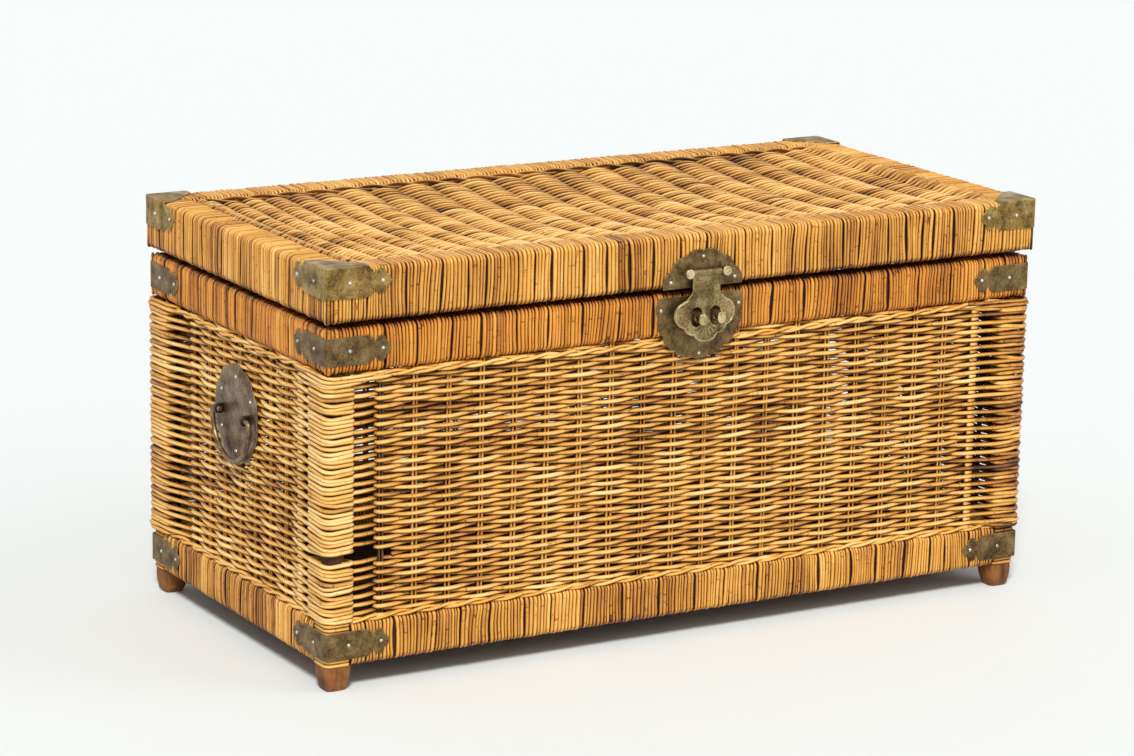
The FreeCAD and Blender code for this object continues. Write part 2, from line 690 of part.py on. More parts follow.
def arm_waste(height, centre_z):
    """Path round the sheet that is cut away beyond a bracket arm's outline."""
    full = number(height) / 2
    waist = number("bracket_waist_height") / 2
    plate, neck = number("bracket_plate"), number("bracket_waist")
    tip = number("bracket_reach")
    lobe = number("finial_height") / 2
    span = tip - neck
    z = number(centre_z)
    margin = 2
    # One half, from the plate's shoulder to the finial's tip
    shoulder = (plate, full)
    concave = (plate + 0.62 * (neck - plate), full - 0.48 * (full - waist))
    pinch = (neck, waist)
    side_lobe = (neck + 0.30 * span, lobe)
    notch = (neck + 0.66 * span, 0.52 * lobe)
    end_lobe = (neck + 0.93 * span, 0.27 * lobe)
    point = (tip, 0)
    half = [[concave, pinch], [side_lobe, notch], [end_lobe, point]]
    mirrored = [
        [(end_lobe[0], -end_lobe[1]), (notch[0], -notch[1])],
        [(side_lobe[0], -side_lobe[1]), (pinch[0], -pinch[1])],
        [(concave[0], -concave[1]), (shoulder[0], -shoulder[1])],
    ]
    closing = [
        [(plate, -full - margin)],
        [(tip + margin, -full - margin)],
        [(tip + margin, full + margin)],
        [(plate, full + margin)],
        [shoulder],
    ]
    steps = [[(x, up + z) for x, up in step] for step in half + mirrored + closing]
    return (shoulder[0], shoulder[1] + z), steps


def make_bracket(name, corner, length, depth, height, centre_z, flange):
    """Make a folded bracket with two arms; a lid cap also has a flange on top."""
    body = new_body(name)
    low = f"{centre_z} - ({height}) / 2"
    sheet_t = "bracket_thickness"
    sketch = new_sketch(body, "XY_Plane", low)
    corners = (
        (f"-{sheet_t}", f"-{sheet_t}"),
        ("bracket_reach + 1", f"-{sheet_t}"),
        ("bracket_reach + 1", "0"),
        ("0", "0"),
        ("0", "bracket_reach + 1"),
        (f"-{sheet_t}", "bracket_reach + 1"),
    )
    draw_polygon(sketch, corners)
    pad(body, sketch, height)
    inner, outer = 0.0, -number(sheet_t)
    fillet(body, "corner_clip", lambda edge: stands_at(edge, inner, inner))
    if not flange:
        fillet(body, f"corner_clip + {sheet_t}", lambda edge: stands_at(edge, outer, outer))
    for plane in ("XZ_Plane", "YZ_Plane"):
        sketch = new_sketch(body, plane)
        draw_path(sketch, *arm_waste(height, centre_z))
        pocket(body, sketch, sheet_t, reverse=plane == "XZ_Plane")
        sketch = new_sketch(body, plane)
        for at in ("plate_nail_at", "finial_nail_at"):
            draw_circle(sketch, at, centre_z, SHANK_HOLE)
        pocket(body, sketch, sheet_t, reverse=plane == "XZ_Plane")
    if flange:
        sketch = new_sketch(body, "XY_Plane", LID_RAIL[1])
        leg, tip = "cap_flange", "cap_flange_tip"
        outline = (
            (f"-{sheet_t}", f"-{sheet_t}"),
            (leg, f"-{sheet_t}"),
            (leg, tip),
            (tip, leg),
            (f"-{sheet_t}", leg),
        )
        draw_polygon(sketch, outline)
        pad(body, sketch, sheet_t)
        fillet(body, f"corner_clip + {sheet_t}", lambda edge: stands_at(edge, outer, outer))
    stand_corner(body, corner, length, depth)
    keep(body, name)


# Nails: domed heads on the plates, shanks through the plates into the wicker

def nail_shape(sheet_thickness):
    """Shape of one nail, pointing along +Y, its head's flat face at y = 0."""
    radius = number("nail_head_diameter") / 2
    height = number("nail_head_height")
    shank = number("nail_shank_diameter") / 2
    reach = sheet_thickness + number("nail_bite") - number("nail_clearance")
    outline = Part.Wire(
        [
            Part.Arc(V(0, -height, 0), V(0.72 * radius, -0.72 * height, 0), V(radius, 0, 0)).toShape(),
            Part.LineSegment(V(radius, 0, 0), V(shank, 0, 0)).toShape(),
            Part.LineSegment(V(shank, 0, 0), V(shank, reach, 0)).toShape(),
            Part.LineSegment(V(shank, reach, 0), V(0, reach, 0)).toShape(),
            Part.LineSegment(V(0, reach, 0), V(0, -height, 0)).toShape(),
        ]
    )
    return Part.Face(outline).revolve(V(0, 0, 0), V(0, 1, 0), 360)


def place_nails(side, length, depth, places, sheet_name, inset="0"):
    """Copies of a nail at places along and up one side, heads on a sheet laid on the side's face."""
    turn, at_x, at_y = SIDES[side]
    thickness = number(sheet_name)
    nail = nail_shape(thickness)
    spin = FreeCAD.Rotation(V(0, 0, 1), turn)
    face = V(at_x * number(length) / 2, at_y * number(depth) / 2 + number(SHIFT), 0)
    copies = []
    for x, z in places:
        local = V(number(x), number(inset) - thickness, number(z))
        copy = nail.copy()
        copy.Placement = FreeCAD.Placement(face + spin.multVec(local), spin)
        copies.append(copy)
    return copies


def make_nails(name, shapes):
    """Keep a group of nails as one node of separate solids."""
    group = doc.addObject("Part::Feature", name)
    group.Shape = Part.makeCompound(shapes)
    keep(group, name)


def make_all_nails():
    """Make the base's and the lid's nails and hinge screws."""
    base, lid = [], []
    for level in LEVELS:
        whole_length, whole_depth, _, _, height = LEVELS[level]
        for side in SIDES:
            length = whole_length if side in ("front", "back") else whole_depth
            group = lid if level == "lid" else base
            places = bracket_nails(length, height)
            group += place_nails(side, whole_length, whole_depth, places, "bracket_thickness")
    plate = "hasp_plate_thickness"
    lid += place_nails("front", "lid_length", "lid_depth", UPPER_PLATE_NAILS, plate)
    base += place_nails("front", "base_length", "base_depth", LOWER_PLATE_NAILS, plate)
    for side in ("left", "right"):
        base += place_nails(side, "base_length", "base_depth", HANDLE_NAILS, plate, "panel_inset")
    leaf = "hinge_leaf_thickness"
    base += place_nails("back", "base_length", "base_depth", hinge_screws(BASE_LEAF_MIDDLE), leaf)
    lid += place_nails("back", "lid_length", "lid_depth", hinge_screws(LID_LEAF_MIDDLE), leaf)
    make_nails("nails_base", base)
    make_nails("nails_lid", lid)


# Hasp

def lobed_steps(centre, radius_x, radius_z, start, end, lobes):
    """Arcs of a scalloped edge, from one angle to another in degrees."""
    deep = number("lobe_depth")

    def at(angle, inward):
        turn = math.radians(angle)
        across = centre[0] + (radius_x - inward) * math.cos(turn)
        return (across, centre[1] + (radius_z - inward) * math.sin(turn))

    step = (end - start) / lobes
    first = at(start, deep)
    steps = []
    for index in range(lobes):
        begin = start + index * step
        steps.append([at(begin + step / 2, 0), at(begin + step, deep)])
    return first, steps


def make_hasp_plate(name, radius, offset, lobes, edge_z, upward, length, depth, nails):
    """Make one half of the hasp's scalloped plate, cut straight along the lid's gap."""
    body = new_body(name)
    centre = (number("hasp_offset"), number(edge_z) - number(offset))
    reach = number(radius)
    tilt = math.degrees(math.asin(number(offset) / (reach - number("lobe_depth"))))
    start, end = (tilt, 180 - tilt) if upward else (180 - tilt, 360 + tilt)
    first, steps = lobed_steps(centre, reach, reach, start, end, round(number(lobes)))
    sketch = new_sketch(body, "XZ_Plane")
    draw_path(sketch, first, steps + [[first]])
    pad(body, sketch, "hasp_plate_thickness")
    sketch = new_sketch(body, "XZ_Plane")
    for x, z in nails:
        draw_circle(sketch, x, z, SHANK_HOLE)
    pocket(body, sketch, both_ways=True)
    stand(body, "front", length, depth)
    keep(body, name)


def make_knuckle_posts():
    """Make the two headed posts on the upper plate, bored for the pin."""
    posts = []
    for sign in (-1, 1):
        body = new_body(f"knuckle_post_{'left' if sign < 0 else 'right'}")
        sketch = new_sketch(body, "XY_Plane")
        shank = "knuckle_post_diameter / 2"
        head = "knuckle_head_diameter / 2"
        neck = "knuckle_head_thickness - knuckle_post_reach"
        outline = (
            ("0", "-hasp_plate_thickness"),
            (shank, "-hasp_plate_thickness"),
            (shank, neck),
            (head, neck),
            (head, "-knuckle_post_reach"),
            ("0", "-knuckle_post_reach"),
        )
        draw_polygon(sketch, outline)
        turn = body.newObject("PartDesign::Revolution", body.Name + "_turn")
        turn.Profile = sketch
        turn.ReferenceAxis = (sketch, ["V_Axis"])
        turn.Angle = 360
        doc.recompute()
        sketch = new_sketch(body, "YZ_Plane")
        draw_circle(sketch, "-hasp_pin_out", "0", "hasp_pin_diameter + 2 * running_clearance")
        pocket(body, sketch, both_ways=True)
        body.Label = f"knuckle post {'left' if sign < 0 else 'right'}"
        along = f"hasp_offset + {sign} * knuckle_post_spacing / 2"
        stand(body, "front", "lid_length", "lid_depth", along=along, up=HASP_PIN_Z)
        posts.append(body)
    group = doc.addObject("Part::Compound", "hasp_knuckle_posts")
    group.Links = posts
    keep(group, "hasp_knuckle_posts")


def make_hasp_pin():
    """Make the pin that the flap swings on, from post to post."""
    pin = doc.addObject("Part::Cylinder", "hasp_pin")
    length = "(knuckle_post_spacing + knuckle_post_diameter)"
    pin.setExpression("Radius", size("hasp_pin_diameter / 2"))
    pin.setExpression("Height", size(length))
    pin.Placement = FreeCAD.Placement(V(0, 0, 0), FreeCAD.Rotation(V(0, 1, 0), 90))
    pin.setExpression("Placement.Base.x", size(f"hasp_offset - {length} / 2"))
    pin.setExpression("Placement.Base.y", size(f"{SHIFT} - lid_depth / 2 - hasp_pin_out"))
    pin.setExpression("Placement.Base.z", size(HASP_PIN_Z))
    keep(pin, "hasp_pin")


def flap_outline():
    """Path round the flap, its centre line at x = 0 and the pin at z = 0."""
    neck = number("barrel_length") / 2
    wide = number("flap_half_width")
    low = number("flap_length")
    # One half, as shares of the flap's width and length, from the barrel down to the lowest point
    half = [
        [(neck, -0.27 * low)],
        [(0.58 * wide, -0.36 * low), (0.80 * wide, -0.43 * low)],
        [(wide, -0.59 * low), (0.70 * wide, -0.79 * low)],
        [(0.57 * wide, -0.875 * low), (0.385 * wide, -0.90 * low)],
        [(0.24 * wide, -0.98 * low), (0, -low)],
    ]
    other = []
    end = (neck, 0)
    for step in half:
        other.insert(0, [(-x, z) for x, z in step[:-1]] + [(-end[0], end[1])])
        end = step[-1]
    return (neck, 0), half + other + [[(neck, 0)]]


def draw_upright_slot(sketch, x, z, width, height):
    """Draw an upright slot with round ends."""
    half = width / 2
    rise = height / 2 - half
    steps = [
        [(x + half, z + rise)],
        [(x, z + rise + half), (x - half, z + rise)],
        [(x - half, z - rise)],
        [(x, z - rise - half), (x + half, z - rise)],
    ]
    draw_path(sketch, (x + half, z - rise), steps)


def make_flap():
    """Make the hasp's flap: a bowed plate with two slots, rolled into a barrel at its top."""
    blank = new_body("flap_blank")
    sketch = new_sketch(blank, "XZ_Plane")
    draw_path(sketch, *flap_outline())
    for sign in (-1, 1):
        across = sign * number("eye_spacing") / 2
        draw_upright_slot(sketch, across, -number("eye_drop"), number("slot_width"), number("slot_height"))
    pad(blank, sketch, "2 * flap_front", both_ways=True)
    bow = []
    for name, inward in (("bow_outside", "0"), ("bow_inside", "flap_thickness")):
        drum = doc.addObject("Part::Cylinder", name)
        drum.setExpression("Radius", size(f"flap_dome_radius - {inward}"))
        drum.setExpression("Height", size("2 * flap_length"))
        drum.setExpression("Placement.Base.y", size("flap_dome_radius - flap_front"))
        drum.setExpression("Placement.Base.z", size("-1.5 * flap_length"))
        bow.append(drum)
    shell = doc.addObject("Part::Cut", "bow_shell")
    shell.Base, shell.Tool = bow
    plate = doc.addObject("Part::Common", "flap_plate")
    plate.Base, plate.Tool = blank, shell
    barrel = doc.addObject("Part::Cylinder", "flap_barrel")
    bore = doc.addObject("Part::Cylinder", "flap_bore")
    for item, radius, length in (
        (barrel, "barrel_diameter / 2", "barrel_length"),
        (bore, "hasp_pin_diameter / 2 + running_clearance", "2 * barrel_length"),
    ):
        item.setExpression("Radius", size(radius))
        item.setExpression("Height", size(length))
        item.Placement = FreeCAD.Placement(V(0, 0, 0), FreeCAD.Rotation(V(0, 1, 0), 90))
        item.setExpression("Placement.Base.x", size(f"-({length}) / 2"))
        item.setExpression("Placement.Base.y", size("-hasp_pin_out"))
    whole = doc.addObject("Part::Fuse", "flap_whole")
    whole.Base, whole.Tool = plate, barrel
    flap = doc.addObject("Part::Cut", "hasp_flap")
    flap.Base, flap.Tool = whole, bore
    doc.recompute()
    stand(flap, "front", "lid_length", "lid_depth", along="hasp_offset", up=HASP_PIN_Z)
    keep(flap, "hasp_flap")


def make_eye_posts():
    """Make the two padlock eyes on the lower plate."""
    posts = []
    for sign in (-1, 1):
        body = new_body(f"eye_post_{'left' if sign < 0 else 'right'}")
        sketch = new_sketch(body, "XZ_Plane", "hasp_plate_thickness")
        draw_upright_slot(sketch, 0, 0, number("eye_width"), number("eye_height"))
        pad(body, sketch, "eye_reach - hasp_plate_thickness")
        sketch = new_sketch(body, "YZ_Plane")
        draw_circle(sketch, "-eye_hole_out", "0", "eye_hole_diameter")
        pocket(body, sketch, both_ways=True)
        body.Label = f"eye post {'left' if sign < 0 else 'right'}"
        along = f"hasp_offset + {sign} * eye_spacing / 2"
        stand(body, "front", "base_length", "base_depth", along=along, up=f"{HASP_PIN_Z} - eye_drop")
        posts.append(body)
    group = doc.addObject("Part::Compound", "hasp_eye_posts")
    group.Links = posts
    keep(group, "hasp_eye_posts")


# Side handles

BAIL_OUT = "(bail_axis_out + hasp_plate_thickness - panel_inset)"


def make_handle(side):
    """Make one side's scalloped plate, its two eyes and the bail."""
    body = new_body(f"handle_plate_{side}")
    centre = (0, number("handle_height"))
    wide, tall = number("handle_plate_half_width"), number("handle_plate_half_height")
    lobes = round(number("handle_plate_lobes"))
    turn = 90 - 180 / lobes
    first, steps = lobed_steps(centre, wide, tall, turn, turn + 360, lobes)
    steps[-1][-1] = first
    sketch = new_sketch(body, "XZ_Plane", "-panel_inset")
    draw_path(sketch, first, steps)
    pad(body, sketch, "hasp_plate_thickness")
    sketch = new_sketch(body, "XZ_Plane")
    for x, z in HANDLE_NAILS:
        draw_circle(sketch, x, z, SHANK_HOLE)
    pocket(body, sketch, both_ways=True)
    stand(body, side, "base_length", "base_depth")
    keep(body, f"handle_plate_{side}")

    eyes = []
    for sign in (-1, 1):
        body = new_body(f"bail_eye_{side}_{'a' if sign < 0 else 'b'}")
        radius = number("bail_eye_radius")
        face = number("bail_axis_out")
        sketch = new_sketch(body, "YZ_Plane")
        steps = [
            [(0, radius)],
            [(-radius, 0), (0, -radius)],
            [(face, -radius)],
            [(face, radius)],
        ]
        draw_path(sketch, (face, radius), steps)
        draw_circle(sketch, "0", "0", "bail_diameter + 2 * running_clearance")
        pad(body, sketch, "bail_eye_thickness", both_ways=True)
        body.Label = f"bail eye {side} {sign}"
        along = f"{sign} * bail_eye_at"
        stand(body, side, "base_length", "base_depth", along=along, out=BAIL_OUT, up="handle_height")
        eyes.append(body)
    group = doc.addObject("Part::Compound", f"handle_eyes_{side}")
    group.Links = eyes
    keep(group, f"handle_eyes_{side}")

    body = new_body(f"bail_{side}")
    end, bow, bend = number("bail_end"), number("bail_radius"), number("bail_bend")
    slant = bend * (1 - math.sqrt(0.5))
    spine = new_sketch(body, "XZ_Plane")
    steps = [
        [(bend - bow, 0)],
        [(slant - bow, -slant), (-bow, -bend)],
        [(0, -bend - bow), (bow, -bend)],
        [(bow - slant, -slant), (bow - bend, 0)],
        [(end, 0)],
    ]
    draw_path(spine, (-end, 0), steps)
    ring = new_sketch(body, "YZ_Plane", "-bail_end")
    draw_circle(ring, "0", "0", "bail_diameter")
    pipe = body.newObject("PartDesign::AdditivePipe", body.Name + "_pipe")
    pipe.Profile = ring
    pipe.Spine = (spine, [])
    doc.recompute()
    stand(body, side, "base_length", "base_depth", out=BAIL_OUT, up="handle_height")
    keep(body, f"bail_{side}")


# Back hinges

def draw_base_knuckle(sketch):
    """Draw the base's hinge knuckle, on a web that joins it to its leaf below the barrel."""
    radius = number("hinge_knuckle_radius")
    out = -number(HINGE_OUT)
    axis = number(HINGE_Z)
    high = axis - radius + number("hinge_web_lap")
    low = high - number("hinge_leaf_thickness")
    meet = out + math.sqrt(radius ** 2 - (high - axis) ** 2)
    steps = [
        [(meet, high)],
        [(out, axis + radius), (out - radius, axis)],
        [(out - radius, low)],
        [(0, low)],
        [(0, high)],
    ]
    draw_path(sketch, (0, high), steps)


def draw_lid_knuckle(sketch):
    """Draw the lid's hinge knuckle, which rises straight into its leaf."""
    radius = number("hinge_knuckle_radius")
    out = -number(HINGE_OUT)
    axis = number(HINGE_Z)
    near = -number("lid_overhang")
    far = near - number("hinge_leaf_thickness")
    top = axis + radius + number("hinge_leaf_thickness")
    meet = axis + math.sqrt(radius ** 2 - (far - out) ** 2)
    diagonal = radius * math.sqrt(0.5)
    steps = [
        [(far, top)],
        [(far, meet)],
        [(out - radius, axis), (out, axis - radius)],
        [(out + diagonal, axis - diagonal), (out + radius, axis)],
        [(near, axis)],
        [(near, top)],
    ]
    draw_path(sketch, (near, top), steps)


def make_hinge_leaves(part):
    """Make the two hinges' leaves of the base or the lid, as one group."""
    leaves = []
    sheet_t = "hinge_leaf_thickness"
    for sign in (-1, 1):
        body = new_body(f"hinge_{part}_{'left' if sign < 0 else 'right'}")
        sketch = new_sketch(body, "YZ_Plane")
        face = "0" if part == "base" else "-lid_overhang"
        centre = BASE_LEAF_MIDDLE if part == "base" else LID_LEAF_MIDDLE
        half = "hinge_leaf_height / 2"
        draw_rectangle(sketch, f"{face} - {sheet_t}", face, f"{centre} - {half}", f"{centre} + {half}")
        pad(body, sketch, "hinge_width", both_ways=True)
        sketch = new_sketch(body, "YZ_Plane")
        if part == "lid":
            draw_lid_knuckle(sketch)
            pad(body, sketch, "hinge_middle", both_ways=True)
        else:
            draw_base_knuckle(sketch)
            pad(body, sketch, "hinge_width", both_ways=True)
            # The lid's knuckle turns in a gap at the middle of the base's
            sketch = new_sketch(body, "YZ_Plane")
            axis_low = f"{HINGE_Z} - hinge_knuckle_radius - {sheet_t}"
            axis_high = f"{HINGE_Z} + hinge_knuckle_radius + 1"
            far = f"-{HINGE_OUT} - hinge_knuckle_radius - 1"
            draw_rectangle(sketch, far, f"-{sheet_t}", axis_low, axis_high)
            pocket(body, sketch, "hinge_middle + 2 * hinge_side_gap", both_ways=True)
        sketch = new_sketch(body, "YZ_Plane")
        draw_circle(sketch, f"-{HINGE_OUT}", HINGE_Z, "hinge_pin_diameter + 2 * running_clearance")
        pocket(body, sketch, both_ways=True)
        sketch = new_sketch(body, "XZ_Plane")
        for screw in (-1, 0, 1):
            draw_circle(sketch, f"{screw} * hinge_screw_at", centre, SHANK_HOLE)
        pocket(body, sketch, both_ways=True)
        body.Label = f"hinge leaf {part} {sign}"
        stand(body, "back", "base_length", "base_depth", along=f"{sign} * hinge_at")
        leaves.append(body)
    group = doc.addObject("Part::Compound", f"hinge_leaves_{part}")
    group.Links = leaves
    keep(group, f"hinge_leaves_{part}")


def make_hinge_pins():
    """Make the two hinges' pins, as one group."""
    pins = []
    for sign in (-1, 1):
        pin = doc.addObject("Part::Cylinder", "hinge_pin")
        pin.setExpression("Radius", size("hinge_pin_diameter / 2"))
        pin.setExpression("Height", size("hinge_width"))
        pin.Placement = FreeCAD.Placement(V(0, 0, 0), FreeCAD.Rotation(V(0, 1, 0), 90))
        pin.setExpression("Placement.Base.x", size(f"{sign} * hinge_at - hinge_width / 2"))
        pin.setExpression("Placement.Base.y", size(f"base_depth / 2 + {HINGE_OUT} + {SHIFT}"))
        pin.setExpression("Placement.Base.z", size(HINGE_Z))
        pin.Label = f"hinge pin {sign}"
        pins.append(pin)
    group = doc.addObject("Part::Compound", "hinge_pins")
    group.Links = pins
    keep(group, "hinge_pins")


def check_and_write():
    """Recompute, check every object and shape, and write one file for each node."""
    doc.recompute()
    for item in doc.Objects:
        if "Invalid" in item.State or "Error" in item.State:
            raise RuntimeError(f"{item.Name} failed: {item.State}")
    for item in nodes:
        if item.Shape.isNull() or not item.Shape.isValid() or not item.Shape.Solids:
            raise RuntimeError(f"{item.Label} has no valid solid")
    os.makedirs("parts", exist_ok=True)
    for item in nodes:
        item.Shape.exportStep(f"parts/{item.Label}.step")
    print(len(nodes), "nodes,", sum(len(item.Shape.Solids) for item in nodes), "solids")


for rail_level in LEVELS:
    make_rails(rail_level)
for trunk_corner in CORNERS:
    make_post(trunk_corner)
    make_foot(trunk_corner)
    for rail_level in ("lower", "upper"):
        bracket_name = f"{rail_level}_bracket_{trunk_corner}"
        bracket_middle = LEVELS[rail_level][4]
        make_bracket(
            bracket_name, trunk_corner, "base_length", "base_depth", "bracket_height", bracket_middle, False
        )
    make_bracket(
        f"lid_cap_{trunk_corner}", trunk_corner, "lid_length", "lid_depth", "cap_height", CAP_MIDDLE, True
    )
make_corner_weave()
for trunk_side in SIDES:
    make_side_panel(trunk_side)
make_bottom_panel()
make_lid_panel()
make_hasp_plate(
    "hasp_plate_upper", "upper_plate_radius", "upper_plate_centre", "upper_plate_lobes",
    LID_RAIL[0], True, "lid_length", "lid_depth", UPPER_PLATE_NAILS,
)
make_hasp_plate(
    "hasp_plate_lower", "lower_plate_radius", "lower_plate_centre", "lower_plate_lobes",
    LOWER_PLATE_TOP, False, "base_length", "base_depth", LOWER_PLATE_NAILS,
)
make_knuckle_posts()
make_hasp_pin()
make_flap()
make_eye_posts()
for trunk_side in ("left", "right"):
    make_handle(trunk_side)
for hinge_part in ("base", "lid"):
    make_hinge_leaves(hinge_part)
make_hinge_pins()
make_all_nails()
check_and_write()
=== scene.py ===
"""Looks of the wicker trunk: woven and wound cane, aged brass, worn feet, studio light and camera."""
import logging
import math
from dataclasses import dataclass
from enum import Enum
from functools import cache

import bmesh
import bpy
import numpy as np
from mathutils import Matrix, Vector


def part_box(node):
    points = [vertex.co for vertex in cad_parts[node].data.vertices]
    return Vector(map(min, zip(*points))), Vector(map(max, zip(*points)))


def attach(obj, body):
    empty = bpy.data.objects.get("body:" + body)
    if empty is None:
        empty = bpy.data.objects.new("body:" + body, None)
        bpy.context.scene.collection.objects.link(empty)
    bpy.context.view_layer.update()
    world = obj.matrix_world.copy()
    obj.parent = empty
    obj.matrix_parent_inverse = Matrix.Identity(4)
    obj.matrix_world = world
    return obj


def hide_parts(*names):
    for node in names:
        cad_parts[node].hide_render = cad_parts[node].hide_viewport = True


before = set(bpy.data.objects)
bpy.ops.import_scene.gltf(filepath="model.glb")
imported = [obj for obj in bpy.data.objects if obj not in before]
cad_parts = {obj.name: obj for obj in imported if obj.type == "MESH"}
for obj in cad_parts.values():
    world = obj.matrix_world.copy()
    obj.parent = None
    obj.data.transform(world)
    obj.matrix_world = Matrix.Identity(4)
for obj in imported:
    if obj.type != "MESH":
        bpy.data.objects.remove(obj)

log = logging.getLogger("wicker_trunk")
MM = 0.001
UPRIGHT = np.array((0.0, 0.0, 1.0))
BACKWARD = np.array((0.0, 1.0, 0.0))
SIDE_NAMES = ("front", "right", "back", "left")
CORNER_NAMES = ("front_left", "front_right", "back_right", "back_left")
Color = tuple[float, float, float]
Place = tuple[float, float, float]
Span = tuple[float, float]
Course = tuple[np.ndarray, np.ndarray, np.ndarray]


class Body(Enum):
    """The trunk's bodies that pieces ride on."""

    BASE = "base"
    LID = "lid"
    FLAP = "hasp_flap"
    BAIL_LEFT = "bail_left"
    BAIL_RIGHT = "bail_right"


class Slot(Enum):
    """The record's material slots, one given with each new piece."""

    RAIL_WRAP = "rail_wrap"
    LID_WRAP = "lid_wrap"
    WOVEN_SIDE = "woven_side"
    WOVEN_LID = "woven_lid"
    FOOT = "foot_wood"
    BRACKET = "bracket_brass"
    CAP = "cap_brass"
    PLATE = "plate_brass"
    FLAP = "flap_brass"
    HANDLE = "handle_metal"


# Frame of the trunk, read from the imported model


def points(x: np.ndarray, y: np.ndarray, z: np.ndarray) -> np.ndarray:
    """Join coordinates, spread to one shape, into points."""
    return np.stack(np.broadcast_arrays(x, y, z), axis=-1)


@dataclass(frozen=True)
class Side:
    """One side of the trunk: s runs along it to the right, d inward from its face, and z up."""

    name: str
    quarter: int
    half: float
    reach: float
    middle_y: float

    def along(self) -> np.ndarray:
        """Unit vector along the side, to the right as seen from outside."""
        angle = self.quarter * math.pi / 2
        return np.array((round(math.cos(angle)), round(math.sin(angle)), 0.0))

    def place(self, s: np.ndarray, d: np.ndarray, z: np.ndarray) -> np.ndarray:
        """Turn side coordinates into places in the trunk's frame.

        Args:
            s: distances along the side from its middle.
            d: distances inward from its face.
            z: heights above the floor.

        Returns:
            Points, with x, y and z on the last axis.
        """
        cosine, sine, _ = self.along()
        out = d - self.reach
        return points(cosine * s - sine * out, sine * s + cosine * out + self.middle_y, z)


@dataclass(frozen=True)
class Level:
    """One level of rails: its outer box, its heights and the width of its rails."""

    name: str
    half_length: float
    half_depth: float
    low: float
    high: float
    rail_depth: float
    middle_y: float

    @classmethod
    def read(cls, name: str) -> "Level":
        """Read a level's sizes from its wound rails.

        Args:
            name: the level, lower, upper or lid.

        Returns:
            The level.
        """
        front_low, front_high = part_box(f"{name}_wrap_front")
        _, back_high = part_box(f"{name}_wrap_back")
        left_low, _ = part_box(f"{name}_wrap_left")
        return cls(
            name=name,
            half_length=-left_low.x,
            half_depth=(back_high.y - front_low.y) / 2,
            low=front_low.z,
            high=front_high.z,
            rail_depth=front_high.y - front_low.y,
            middle_y=(back_high.y + front_low.y) / 2,
        )

    def side(self, index: int) -> Side:
        """Make the frame of one side of the level.

        Args:
            index: 0 to 3 for front, right, back and left.

        Returns:
            The side.
        """
        sizes = (self.half_length, self.half_depth)
        half, reach = sizes if index % 2 == 0 else sizes[::-1]
        return Side(SIDE_NAMES[index], index, half, reach, self.middle_y)


# Rods and strands


def wander(random: np.random.Generator, count: int, reach: int, size: float) -> np.ndarray:
    """Make a smooth random run of values.

    Args:
        random: source of random numbers.
        count: how many values.
        reach: how many neighbours move together.
        size: usual size of a value.

    Returns:
        The values.
    """
    raw = random.normal(size=count + 2 * reach)
    window = np.hanning(2 * reach + 3)[1:-1]
    smooth = np.convolve(raw, window, mode="same")[reach : reach + count]
    return smooth * size / math.sqrt(float((window**2).sum()))


def wanders(random: np.random.Generator, rods: int, count: int, reach: int, size: float) -> np.ndarray:
    """Make a smooth random run of values for each of several rods."""
    return np.stack([wander(random, count, reach, size) for _ in range(rods)])


def by_point(value: np.ndarray | float) -> np.ndarray:
    """Give a value for all, for each rod or for each point the shape rods by points."""
    value = np.asarray(value, dtype=float)
    return value[:, None] if value.ndim == 1 else value


def make_mesh(
    name: str, places: np.ndarray, faces: np.ndarray | list[tuple[int, ...]], material: bpy.types.Material
) -> bpy.types.Mesh:
    """Make a mesh with smooth faces.

    Args:
        name: name of the mesh.
        places: its points.
        faces: indices of each face's points.
        material: its material.

    Returns:
        The mesh.
    """
    mesh = bpy.data.meshes.new(name)
    mesh.from_pydata(places, [], faces)
    mesh.polygons.foreach_set("use_smooth", np.ones(len(mesh.polygons), dtype=bool))
    mesh.materials.append(material)
    return mesh


def add_piece(name: str, mesh: bpy.types.Mesh, body: Body, slot: Slot, *stands_for: str) -> None:
    """Put a mesh into the scene as a piece that rides on a body.

    Args:
        name: name of the piece.
        mesh: its mesh, in the trunk's frame.
        body: what it rides on.
        slot: the record's slot for it; not used.
        stands_for: nodes that it replaces.
    """
    piece = bpy.data.objects.new(name, mesh)
    bpy.context.scene.collection.objects.link(piece)
    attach(piece, body.value)
    if stands_for:
        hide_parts(*stands_for)
    log.info("%s: %d faces on %s", name, len(mesh.polygons), body.value)


